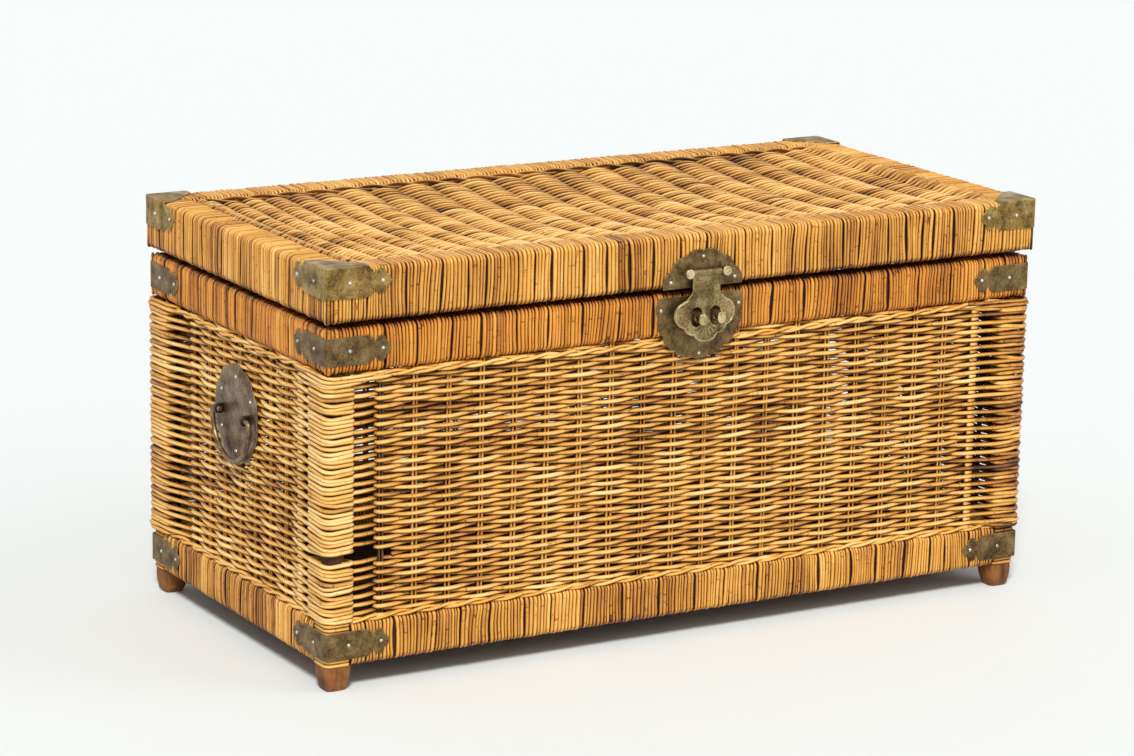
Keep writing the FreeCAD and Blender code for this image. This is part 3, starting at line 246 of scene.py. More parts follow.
class Bundle:
    """Rods of one piece, gathered and then made into one mesh of round, capped tubes."""

    def __init__(
        self, name: str, sides: int = 6, fullness: float = 0.0, crown: float = 2.0, above: float = 1.0
    ) -> None:
        """Start an empty bundle.

        Args:
            name: name of the piece.
            sides: corners of a rod's cross section, an even number.
            fullness: how much a cross section bulges at its diagonals, 0 for a round rod.
            crown: how narrow the painted shade on the flanks is, 2 for a round rod and more for a flat
                strand.
            above: darkness of the painted shade on the upper flank, as a share of the lower one's.
        """
        self.name = name
        self.sides = sides
        self.fullness = fullness
        self.crown = crown
        self.above = above
        self.count = 0
        self.points: list[np.ndarray] = []
        self.faces: list[np.ndarray] = []
        self.tones: list[np.ndarray] = []
        self.grains: list[np.ndarray] = []
        self.flank_shades: list[np.ndarray] = []
        self.random = np.random.default_rng(sum(ord(letter) for letter in name))

    def lay(
        self,
        paths: np.ndarray,
        radius: np.ndarray | float,
        up: np.ndarray,
        tone: np.ndarray | float,
        closed: bool = False,
    ) -> None:
        """Lay rods along paths of equal point counts.

        Args:
            paths: points, shaped rods by points by three.
            radius: radius of a rod, one for all, for each rod or for each point.
            up: direction that is never along a path.
            tone: 0 dark to 1 pale, one for all, for each rod or for each point.
            closed: whether each path comes back to its start.
        """
        rods, steps = paths.shape[:2]
        radius = np.broadcast_to(by_point(radius), (rods, steps))[:, :, None]
        tone = np.broadcast_to(by_point(tone), (rods, steps))
        if closed:
            tangent = np.roll(paths, -1, axis=1) - np.roll(paths, 1, axis=1)
        else:
            tangent = np.gradient(paths, axis=1)
        tangent = tangent / np.linalg.norm(tangent, axis=2, keepdims=True)
        across = np.cross(np.broadcast_to(up, tangent.shape), tangent)
        across = across / np.linalg.norm(across, axis=2, keepdims=True)
        over = np.cross(tangent, across)
        angles = np.arange(self.sides) * 2 * math.pi / self.sides
        bulge = 1 + self.fullness * np.sin(2 * angles) ** 2
        cosine, sine = np.cos(angles) * bulge, np.sin(angles) * bulge
        offset = across[:, :, None] * cosine[:, None] + over[:, :, None] * sine[:, None]
        self.points.append((paths[:, :, None] + radius[..., None] * offset).reshape(-1, 3))
        self.tones.append(np.repeat(tone.reshape(-1), self.sides))
        steps_long = np.linalg.norm(np.diff(paths, axis=1, prepend=paths[:, :1]), axis=2)
        run = np.cumsum(steps_long, axis=1)[:, :, None]
        start = self.random.uniform(0, 40, (rods, 1, 1))
        grain = points(run + start, radius * cosine, radius * sine + start)
        self.grains.append(grain.reshape(-1, 3))
        # Painted shade on each rod's flanks, lighter on the upper flank because light falls from above
        flank = np.abs(np.sin(angles)) ** self.crown * np.where(np.sin(angles) > 0, self.above, 1.0)
        self.flank_shades.append(np.tile(flank, rods * steps))
        self.skin(rods, steps, closed)

    def skin(self, rods: int, steps: int, closed: bool) -> None:
        """Add the faces of the rods that were laid last.

        Args:
            rods: how many rods.
            steps: how many points each has.
            closed: whether each path comes back to its start.
        """
        index = np.arange(rods * steps * self.sides).reshape(rods, steps, self.sides) + self.count
        after = np.roll(index, -1, axis=2)
        ahead = np.roll(index, -1, axis=1)
        ahead_after = np.roll(ahead, -1, axis=2)
        last = steps if closed else steps - 1
        quads = np.stack((index, after, ahead_after, ahead), axis=-1)[:, :last]
        self.faces.append(quads.reshape(-1, 4))
        if not closed:
            for turn in range(self.sides // 2 - 1):
                corners = (0, 2 * turn + 1, 2 * turn + 2, 2 * turn + 3)
                self.faces.append(index[:, -1][:, corners])
                self.faces.append(index[:, 0][:, corners[::-1]])
        self.count += rods * steps * self.sides

    def make(self, finish: "Finish", body: Body, slot: Slot, *stands_for: str) -> None:
        """Make the bundle's mesh and add it as a piece.

        Args:
            finish: the rods' finish.
            body: what the piece rides on.
            slot: the record's slot for it.
            stands_for: nodes that the piece replaces.
        """
        places, faces = np.concatenate(self.points), np.concatenate(self.faces)
        mesh = make_mesh(self.name, places, faces, finish.material())
        for label, kind, entry, values in (
            ("tone", "FLOAT", "value", np.clip(np.concatenate(self.tones), 0, 1)),
            ("crease", "FLOAT", "value", np.concatenate(self.flank_shades)),
            ("grain", "FLOAT_VECTOR", "vector", np.concatenate(self.grains)),
        ):
            layer = mesh.attributes.new(label, kind, "POINT")
            layer.data.foreach_set(entry, values.astype(np.float32).reshape(-1))
        add_piece(self.name, mesh, body, slot, *stands_for)


# Finishes


class Nodes:
    """A node tree, with short ways to add nodes and link them."""

    def __init__(self, tree: bpy.types.NodeTree) -> None:
        """Take a node tree."""
        self.tree = tree

    def enter(self, socket: bpy.types.NodeSocket, value: object) -> None:
        """Set an input to a value, or link it to a socket.

        Args:
            socket: the input.
            value: a value, or the socket that feeds the input.
        """
        if isinstance(value, bpy.types.NodeSocket):
            self.tree.links.new(value, socket)
        else:
            socket.default_value = value

    def fill(self, node: bpy.types.Node, **inputs: object) -> bpy.types.Node:
        """Fill a node's inputs, or its own settings where it has no such input.

        Args:
            node: the node.
            inputs: values or sockets by name; an underscore stands for a space in an input's name.

        Returns:
            The node.
        """
        for name, value in inputs.items():
            if hasattr(node, name):
                setattr(node, name, value)
            else:
                self.enter(node.inputs[name.replace("_", " ")], value)
        return node

    def take(self, kind: str, output: str, **inputs: object) -> bpy.types.NodeSocket:
        """Add a node, fill its inputs and take one of its outputs.

        Args:
            kind: the node's type, without its ShaderNode prefix.
            output: name of the output.
            inputs: values or sockets by name.

        Returns:
            The output.
        """
        return self.fill(self.tree.nodes.new("ShaderNode" + kind), **inputs).outputs[output]

    def compute(self, operation: str, *values: object) -> bpy.types.NodeSocket:
        """Add a Math node.

        Args:
            operation: the node's operation.
            values: sockets or numbers.

        Returns:
            The node's output.
        """
        node = self.tree.nodes.new("ShaderNodeMath")
        node.operation = operation
        for socket, value in zip(node.inputs, values):
            self.enter(socket, value)
        return node.outputs[0]

    def stretch(self, value: object, span: Span, onto: Span = (0.0, 1.0)) -> bpy.types.NodeSocket:
        """Map a value from one span onto another, and stop at its ends.

        Args:
            value: the value's socket.
            span: the values that become the new span's ends.
            onto: the new span.

        Returns:
            The new value.
        """
        low, high = span
        return self.take(
            "MapRange", "Result", Value=value, From_Min=low, From_Max=high, To_Min=onto[0], To_Max=onto[1]
        )

    def noise(
        self, place: bpy.types.NodeSocket, scale: Place | float, **inputs: float
    ) -> bpy.types.NodeSocket:
        """Add a noise texture.

        Args:
            place: the vector that the noise is read at.
            scale: turns to the metre, one for all axes or one for each.
            inputs: the noise's other inputs by name.

        Returns:
            The noise's value.
        """
        if isinstance(scale, tuple):
            place = self.take("Mapping", "Vector", Vector=place, Scale=scale)
            scale = 1.0
        return self.take("TexNoise", "Fac", Vector=place, Scale=scale, **inputs)

    def ramp(self, driver: bpy.types.NodeSocket, *stops: tuple[float, Color]) -> bpy.types.NodeSocket:
        """Add a colour ramp.

        Args:
            driver: the value that picks the colour.
            stops: places and colours.

        Returns:
            The ramp's colour.
        """
        node = self.tree.nodes.new("ShaderNodeValToRGB")
        elements = node.color_ramp.elements
        while len(elements) < len(stops):
            elements.new(0.5)
        for element, (place, color) in zip(elements, stops):
            element.position = place
            element.color = (*color, 1.0)
        self.enter(node.inputs[0], driver)
        return node.outputs[0]

    def group(self, tree: bpy.types.NodeTree, **inputs: float) -> bpy.types.Node:
        """Place a shader node group.

        Args:
            tree: the group's tree.
            inputs: the group's inputs by name.

        Returns:
            The group node.
        """
        node = self.tree.nodes.new("ShaderNodeGroup")
        node.node_tree = tree
        return self.fill(node, **inputs)


def new_material(name: str) -> tuple[bpy.types.Material, Nodes, bpy.types.Node]:
    """Start a material with a plain Principled BSDF.

    Args:
        name: name of the material.

    Returns:
        The material, its nodes and its shader.
    """
    material = bpy.data.materials.new(name)
    material.use_nodes = True
    tree = material.node_tree
    return material, Nodes(tree), tree.nodes["Principled BSDF"]


def new_group(
    name: str, inputs: dict[str, float], outputs: dict[str, str]
) -> tuple[Nodes, bpy.types.Node, bpy.types.Node]:
    """Start a shader node group.

    Args:
        name: name of the group.
        inputs: default of each input, by its name.
        outputs: Float or Vector for each output, by its name.

    Returns:
        The group's nodes, its input node and its output node.
    """
    tree = bpy.data.node_groups.new(name, "ShaderNodeTree")
    for label, default in inputs.items():
        socket = tree.interface.new_socket(name=label, in_out="INPUT", socket_type="NodeSocketFloat")
        socket.default_value = default
    for label, kind in outputs.items():
        tree.interface.new_socket(name=label, in_out="OUTPUT", socket_type="NodeSocket" + kind)
    return Nodes(tree), tree.nodes.new("NodeGroupInput"), tree.nodes.new("NodeGroupOutput")


@cache
def fibre_group() -> bpy.types.NodeTree:
    """Build the group for cane fibres: streaks along a rod, thin dark joints, specks and a skin height.

    Returns:
        The group's tree.
    """
    nodes, given, result = new_group(
        "cane_fibre",
        {"Streaks": 1.0, "Joints": 0.5, "Specks": 0.5},
        {"Streak": "Float", "Mark": "Float", "Height": "Float"},
    )
    # The grain is a place in the rod itself: x along it, y and z across it
    grain = nodes.take("Attribute", "Vector", attribute_name="grain")
    fine = nodes.noise(grain, (55.0, 1400.0, 1400.0), Detail=3.0, Roughness=0.65)
    blotch = nodes.noise(grain, (16.0, 120.0, 1.0), Detail=2.0, Roughness=0.6)
    speck = nodes.noise(grain, (260.0, 700.0, 3.0), Detail=1.0, Roughness=0.5)
    run = nodes.take("SeparateXYZ", "X", Vector=grain)
    # Joints come about every 170 mm, and are about 1.5 mm wide
    turn = nodes.compute("FRACT", nodes.compute("MULTIPLY_ADD", run, 5.9, blotch))
    joint = nodes.stretch(turn, (0.985, 0.994))
    dots = nodes.stretch(speck, (0.66, 0.74))
    streak = nodes.compute("MULTIPLY_ADD", blotch, 0.5, nodes.compute("MULTIPLY", fine, 0.5))
    streak = nodes.compute("MULTIPLY", nodes.compute("SUBTRACT", streak, 0.5), given.outputs["Streaks"])
    mark = nodes.compute("MULTIPLY", joint, given.outputs["Joints"])
    mark = nodes.compute("MULTIPLY_ADD", dots, given.outputs["Specks"], mark)
    nodes.fill(result, Streak=streak, Mark=mark, Height=fine)
    return nodes.tree


@cache
def wear_and_highlight_edge_group() -> bpy.types.NodeTree:
    """Build the group that finds the edges, where a rounded normal leaves the true one, which the brass
    paints brighter for wear and a painted highlight.

    Returns:
        The group's tree.
    """
    nodes, given, result = new_group("worn_edge", {"Width": 1 * MM}, {"Edge": "Float", "Normal": "Vector"})
    rounded = nodes.take("Bevel", "Normal", samples=4, Radius=given.outputs["Width"])
    true = nodes.take("NewGeometry", "Normal")
    dot = nodes.tree.nodes.new("ShaderNodeVectorMath")
    dot.operation = "DOT_PRODUCT"
    nodes.enter(dot.inputs[0], rounded)
    nodes.enter(dot.inputs[1], true)
    nodes.fill(result, Edge=nodes.stretch(dot.outputs["Value"], (0.985, 0.80)), Normal=rounded)
    return nodes.tree


@dataclass(frozen=True)
class Finish:
    """A finish, which makes its material once."""

    name: str

    @cache
    def material(self) -> bpy.types.Material:
        """Make the material, or give the one already made.

        Returns:
            The material.
        """
        material, nodes, shader = new_material(self.name)
        self.paint(nodes, shader)
        return material

    def paint(self, nodes: Nodes, shader: bpy.types.Node) -> None:
        """Paint nothing; each kind of finish has its own way."""


@dataclass(frozen=True)
class Cane(Finish):
    """Finish of rattan rods and strands, from dark in the hollows to pale on the crowns, where the dark is
    painted shade.
    """

    dark: Color
    deep: Color
    warm: Color
    pale: Color
    roughness: float = 0.40
    specular: float = 0.38
    # Painted shade: how much darker the flanks of a rod are than its crown; and the reach of the patches of
    # grime
    crease: float = 0.68
    grime: float = 0.4

    def paint(self, nodes: Nodes, shader: bpy.types.Node) -> None:
        """Paint each rod by its own tone, the painted shade on its flanks, its fibres and patches of grime.

        Args:
            nodes: the material's nodes.
            shader: its shader.
        """
        fibre = nodes.group(fibre_group(), Streaks=0.75, Joints=0.30, Specks=0.20).outputs
        tone = nodes.take("Attribute", "Fac", attribute_name="tone")
        flank = nodes.take("Attribute", "Fac", attribute_name="crease")
        patches = nodes.noise(nodes.take("TexCoord", "Object"), 9.0, Detail=3.0, Roughness=0.6)
        value = nodes.compute("ADD", tone, fibre["Streak"])
        value = nodes.compute("MULTIPLY_ADD", nodes.compute("SUBTRACT", patches, 0.5), self.grime, value)
        value = nodes.compute("SUBTRACT", value, fibre["Mark"])
        # Painted shade on the flanks
        value = nodes.compute("MULTIPLY_ADD", flank, -self.crease, value)
        color = nodes.ramp(value, (0.0, self.dark), (0.22, self.deep), (0.52, self.warm), (0.88, self.pale))
        rough = (self.roughness - 0.08, self.roughness + 0.14)
        nodes.fill(
            shader,
            Base_Color=color,
            Roughness=nodes.stretch(fibre["Height"], (0.0, 1.0), rough),
            Specular_IOR_Level=self.specular,
            Normal=nodes.take("Bump", "Normal", Strength=0.35, Distance=0.4 * MM, Height=fibre["Height"]),
        )


@dataclass(frozen=True)
class Brass(Finish):
    """Finish of aged sheet metal: dull patina with spots, and brighter edges, partly rubbed wear and partly
    a painted highlight.
    """

    dark: Color
    patina: Color
    bright: Color
    roughness: float = 0.42
    metallic: float = 0.8
    edge_width: float = 1.2 * MM
    edge_wear_highlight_gain: float = 0.30

    def paint(self, nodes: Nodes, shader: bpy.types.Node) -> None:
        """Paint clouds and specks of patina, and paint the edges brighter, for rubbed wear and a painted
        highlight.

        Args:
            nodes: the material's nodes.
            shader: its shader.
        """
        place = nodes.take("TexCoord", "Object")
        cloud = nodes.noise(place, 55.0, Detail=6.0, Roughness=0.62)
        speck = nodes.noise(place, 420.0, Detail=3.0, Roughness=0.7)
        worn = nodes.group(wear_and_highlight_edge_group(), Width=self.edge_width).outputs
        value = nodes.compute("MULTIPLY_ADD", speck, 0.45, nodes.compute("MULTIPLY", cloud, 0.75))
        # Painted highlight and rubbed wear: the edges are painted brighter
        value = nodes.compute("MULTIPLY_ADD", worn["Edge"], self.edge_wear_highlight_gain, value)
        bump = {"Strength": 0.25, "Distance": 0.3 * MM, "Height": speck, "Normal": worn["Normal"]}
        nodes.fill(
            shader,
            Base_Color=nodes.ramp(value, (0.46, self.dark), (0.60, self.patina), (0.86, self.bright)),
            Roughness=nodes.stretch(cloud, (0.3, 0.7), (self.roughness + 0.16, self.roughness - 0.06)),
            Metallic=self.metallic,
            Normal=nodes.take("Bump", "Normal", **bump),
        )


@dataclass(frozen=True)
class Timber(Finish):
    """Finish of stained wood with upright grain."""

    dark: Color
    light: Color
    roughness: float
    specular: float = 0.3

    def paint(self, nodes: Nodes, shader: bpy.types.Node) -> None:
        """Paint the grain over blots of stain.

        Args:
            nodes: the material's nodes.
            shader: its shader.
        """
        place = nodes.take("TexCoord", "Object")
        grain = nodes.noise(place, (260.0, 260.0, 22.0), Detail=5.0, Roughness=0.65, Distortion=0.4)
        stain = nodes.noise(place, 45.0, Detail=3.0)
        value = nodes.compute("MULTIPLY_ADD", grain, 0.45, nodes.compute("MULTIPLY", stain, 0.55))
        nodes.fill(
            shader,
            Base_Color=nodes.ramp(value, (0.36, self.dark), (0.66, self.light)),
            Roughness=self.roughness,
            Specular_IOR_Level=self.specular,
            Normal=nodes.take("Bump", "Normal", Strength=0.3, Distance=0.5 * MM, Height=grain),
        )


HONEY_CANE = Cane(
    "cane_honey", (0.018, 0.005, 0.001), (0.29, 0.088, 0.008), (0.75, 0.36, 0.055), (0.95, 0.67, 0.25)
)
AMBER_CANE = Cane(
    "cane_amber", (0.016, 0.004, 0.001), (0.26, 0.066, 0.005), (0.70, 0.27, 0.026), (0.91, 0.54, 0.14)
)
STRAW_CANE = Cane(
    "cane_straw", (0.022, 0.006, 0.001), (0.30, 0.100, 0.011), (0.75, 0.385, 0.075), (0.94, 0.68, 0.28)
)
OLIVE_BRASS = Brass("brass_olive", (0.050, 0.030, 0.012), (0.155, 0.095, 0.034), (0.37, 0.255, 0.11))
GOLDEN_BRASS = Brass("brass_golden", (0.078, 0.046, 0.012), (0.255, 0.160, 0.044), (0.60, 0.44, 0.16))
FLAP_BRASS = Brass("brass_rubbed", (0.060, 0.039, 0.015), (0.225, 0.150, 0.054), (0.62, 0.49, 0.24), 0.34)
# A brighter copy of the brass: painted highlight on the post ends and the flap's raised rim and ridges
PEG_HIGHLIGHT_BRASS = Brass("brass_peg", (0.26, 0.17, 0.08), (0.62, 0.46, 0.24), (0.85, 0.70, 0.45), 0.32)
BRONZE = Brass("bronze_dark", (0.048, 0.030, 0.016), (0.168, 0.106, 0.056), (0.39, 0.28, 0.16), 0.40)
BLACK_BRONZE = Brass("bronze_black", (0.010, 0.007, 0.005), (0.036, 0.024, 0.016), (0.14, 0.10, 0.07))
NAIL_STEEL = Brass("nail_steel", (0.28, 0.26, 0.22), (0.55, 0.52, 0.45), (0.85, 0.82, 0.75), 0.25)
FOOT_TIMBER = Timber("foot_timber", (0.050, 0.014, 0.003), (0.34, 0.125, 0.026), 0.6)
BATTEN_TIMBER = Timber("batten_timber", (0.022, 0.009, 0.004), (0.075, 0.032, 0.013), 0.75)


# Wound rails


@dataclass
class WoundRails:
    """One level's four rails, wound with cane strands in groups, mitred at the corners."""

    level: Level
    body: Body
    slot: Slot
    finish: Cane
    tone: float
    seed: int
    strand: float = 4.35 * MM
    strand_spread: Span = (0.70, 1.26)
    # Share of its room that a strand fills
    fill: Span = (0.88, 0.97)
    rounding: float = 7 * MM
    bare_end: float = 0.6 * MM
    # Strands stand in groups, with a gap after each
    first_group: tuple[int, int] = (4, 10)
    smallest_group: int = 3
    group: float = 40.5 * MM
    unevenness: float = 1.2
    group_gap: float = 1.4 * MM
    gap_spread: Span = (0.3, 1.3)
    left_gaps: float = 1.9
    # Beside a gap the strands bow away from it, which fades over a few strands' widths
    opening: float = 0.95 * MM
    opening_spread: Span = (0.0, 1.9)
    opening_strands: float = 2.4
    bow: float = 0.9 * MM
    lean: float = 0.035
    lean_noise: float = 0.006
    tone_drift: float = 0.045
    tone_noise: float = 0.045
    left_noise: float = 0.09
    # Painted shade: tone added to the left rail, which lies in more shade
    left_shade_tone: float = 0.0
    dark_share: float = 0.025
    dark_tone: float = -0.11
    # Painted shade: how much darker the strands are where they turn under and over the rail; a negative
    # share paints the turn paler, as a painted highlight
    turn_shade: Span = (0.25, 0.0)

    def build(self) -> None:
        """Wind the strands of all four rails."""
        for index in range(4):
            self.wind(self.level.side(index))

    def wind(self, side: Side) -> None:
        """Wind one rail.

        Args:
            side: the rail's side of the level.
        """
        random = np.random.default_rng(self.seed * 10 + side.quarter)
        bundle = Bundle(f"strands_{self.level.name}_{side.name}", sides=8, fullness=0.10, crown=4.0)
        at_left = side.name == "left"
        widening = self.left_gaps if at_left else 1.0
        places, strands, openings = self.strand_places(side.half - self.bare_end, widening, random)
        count = len(places)
        tone = self.tone + wander(random, count, reach=5, size=self.tone_drift) + at_left * self.left_shade_tone
        tone += random.normal(size=count) * (self.left_noise if at_left else self.tone_noise)
        tone[random.random(count) < self.dark_share] += self.dark_tone
        radius = strands / 2 * random.uniform(*self.fill, count)
        lean = wander(random, count, reach=7, size=self.lean) + random.normal(size=count) * self.lean_noise
        away = places[:, None] - openings[None]
        push = np.sign(away) * self.opening * random.uniform(*self.opening_spread, len(openings))
        fade = np.exp(-np.abs(away) / (self.opening_strands * self.strand))
        bow = wander(random, count, reach=9, size=self.bow) + (push * fade).sum(axis=1)
        rise = self.level.high - self.level.low
        full = side.half - np.abs(places) > self.level.rail_depth
        for chosen, closed in ((full, True), (~full, False)):
            if not chosen.any():
                continue
            section = self.loop() if closed else self.hook(side.half - np.abs(places[chosen]))
            d, z = section[..., 0], section[..., 1]
            height = (z - (self.level.low + self.level.high) / 2) / rise
            shift = lean[chosen, None] * height * rise
            shift = shift + bow[chosen, None] * (1 - 4 * height**2) * (d < self.level.rail_depth / 2)
            paths = side.place(places[chosen, None] + shift * closed, d, z)
            # Painted shade where the strands turn under and over the rail
            under = np.clip(1 - (z - self.level.low) / self.rounding, 0, 1)
            over = np.clip(1 - (self.level.high - z) / self.rounding, 0, 1)
            shade = tone[chosen, None] - self.turn_shade[0] * under - self.turn_shade[1] * over
            bundle.lay(paths, radius[chosen], side.along(), shade, closed=closed)
        bundle.make(self.finish, self.body, self.slot, f"{self.level.name}_wrap_{side.name}")

    def strand_places(
        self, half: float, widening: float, random: np.random.Generator
    ) -> tuple[np.ndarray, np.ndarray, np.ndarray]:
        """Spread strands along a rail, in groups with a small gap between them.

        Args:
            half: half of the wound length.
            widening: how many times wider than usual the gaps are.
            random: source of random numbers.

        Returns:
            Places and widths of the strands, and places of the gaps, from the rail's middle.
        """
        places, widths, openings = [], [], []
        here = -half
        left_in_group = int(random.integers(*self.first_group))
        while here <= half - self.strand:
            width = self.strand * random.uniform(*self.strand_spread)
            places.append(here + width / 2)
            widths.append(width)
            here += width
            left_in_group -= 1
            if left_in_group == 0:
                gap = self.group_gap * widening * random.uniform(*self.gap_spread)
                openings.append(here + gap / 2)
                here += gap
                strands = round(self.group / self.strand + random.normal() * self.unevenness)
                left_in_group = max(self.smallest_group, strands)
        return np.array(places), np.array(widths), np.array(openings)

    def loop(self) -> np.ndarray:
        """Points of one full turn round the rail.

        Returns:
            Pairs of depth and height, shaped one strand by points by two.
        """
        inset = self.strand / 2
        bend = self.rounding - inset
        near, far = inset + bend, self.level.rail_depth - inset - bend
        low, high = self.level.low + inset + bend, self.level.high - inset - bend
        # Middle and first angle of each bend, and how many points follow on the straight run after it
        bends = ((far, high, 0, 3), (near, high, 90, 3), (near, low, 180, 1), (far, low, 270, 1))
        arcs = []
        for d, z, start, _ in bends:
            angles = np.radians(start + np.array((0, 30, 60, 90)))
            arcs.append(np.stack((d + bend * np.cos(angles), z + bend * np.sin(angles)), axis=-1))
        course = []
        for arc, after, (_, _, _, between) in zip(arcs, arcs[1:] + arcs[:1], bends):
            share = np.linspace(0, 1, between + 2)[1:-1, None]
            course += [arc, arc[-1] + share * (after[0] - arc[-1])]
        return np.concatenate(course)[None]

    def hook(self, reach: np.ndarray) -> np.ndarray:
        """Points of strands by a corner, over the top, down the face and under, each as far as the mitre.

        Args:
            reach: distance of each strand from the rail's end.

        Returns:
            Depths and heights, shaped strands by points by two.
        """
        inset = self.strand / 2
        reach = np.maximum(reach - inset / 2, inset)[:, None]
        bend = np.clip(reach - inset, 0.5 * MM, self.rounding - inset)
        angles = np.radians(np.array((90, 120, 150, 180)))
        steps = np.linspace(1, 0, 4)[:-1]
        deep = inset + bend + steps * np.maximum(reach - inset - bend, 0)
        low, high = self.level.low + inset, self.level.high - inset
        d_top = np.concatenate((deep, inset + bend + bend * np.cos(angles)), axis=1)
        z_top = np.concatenate((high + 0 * deep, high - bend + bend * np.sin(angles)), axis=1)
        face = np.linspace(0, 1, 5)[1:-1]
        z_face = high - bend + face * (low - high + 2 * bend)
        d = np.concatenate((d_top, inset + 0 * z_face, d_top[:, ::-1]), axis=1)
        z = np.concatenate((z_top, z_face, low + high - z_top[:, ::-1]), axis=1)
        return np.stack((d, z), axis=-1)


# Woven sides and wound corners


@dataclass(frozen=True)
class Rows:
    """Rows of rods between the lower and the upper rails, which sides and corners share."""

    base: Level
    low: float
    high: float
    count: int = 57
    rod: float = 4.75 * MM
    jitter: float = 0.25 * MM
    # Rows that are torn off at the front left corner
    torn: tuple[int, ...] = (14, 15)
    seed: int = 40

    def heights(self) -> np.ndarray:
        """Heights of the rows, evenly spaced but for a little jitter."""
        jitter = np.random.default_rng(self.seed).uniform(-1, 1, self.count) * self.jitter
        return self.low + (np.arange(self.count) + 0.5) * (self.high - self.low) / self.count + jitter


@dataclass(frozen=True)
class CornerShape:
    """Plan of the windings round the corner poles."""

    width: float = 31 * MM
    along_front: float = 37 * MM
    along_end: float = 48 * MM
    bend: float = 13 * MM
    tight_bend: float = 5.5 * MM
    proud: float = 1.5 * MM
    # At two corners every second row of the sides goes round, and the winding is wider and bulges
    shared: tuple[str, ...] = ("front_right", "back_left")
    shared_extra: float = 9 * MM
    shared_tight_bend: float = 10 * MM
    shared_proud: float = 4.6 * MM


CORNER = CornerShape()
CORNER_SEED = 70


@dataclass(frozen=True)
class Stakes:
    """Places of the upright double stakes of one woven side."""

    first: float
    last: float
    count: int

    def places(self) -> np.ndarray:
        """Middles of the stakes along the side."""
        return np.linspace(self.first, self.last, self.count)

    def mirrored(self) -> "Stakes":
        """The same stakes counted from the side's other end."""
        return Stakes(-self.last, -self.first, self.count)


LONG_STAKES = Stakes(-385 * MM, 383 * MM, 20)
SHORT_STAKES = Stakes(-152 * MM, 118 * MM, 8)


@dataclass(frozen=True)
class SideLook:
    """Stakes of one woven side, and how pale and thick its rods are."""

    stakes: Stakes
    # Painted shade: darkness of a rod's upper flank, as a share of the lower one's
    above: float = 0.45
    tone: float = 0.57
    # Painted shade: how much darker a rod is behind a stake than between two stakes
    shade: float = 0.17
    thick: float = 1.0
    # What tone and thickness gain to the left of one stake, and tone to the right of the last; these tones
    # are painted shade
    left_stake: int = 0
    left_shade_tone: float = 0.0
    left_thick: float = 0.0
    right_shade_tone: float = 0.0


# The right and back sides, seen through the front's gaps, have more painted shade behind their stakes; the
# front's right end and the right side's front end are painted dark as the shade in the gaps by the corners
SIDE_LOOKS = (
    SideLook(LONG_STAKES, right_shade_tone=-0.25),
    SideLook(SHORT_STAKES, shade=0.30, thick=1.12, left_stake=1, left_shade_tone=-0.25, left_thick=0.14),
    SideLook(LONG_STAKES, shade=0.30, thick=1.12, left_stake=1, left_thick=0.14),
    SideLook(SHORT_STAKES.mirrored(), above=0.6, tone=0.59, left_shade_tone=-0.02),
)


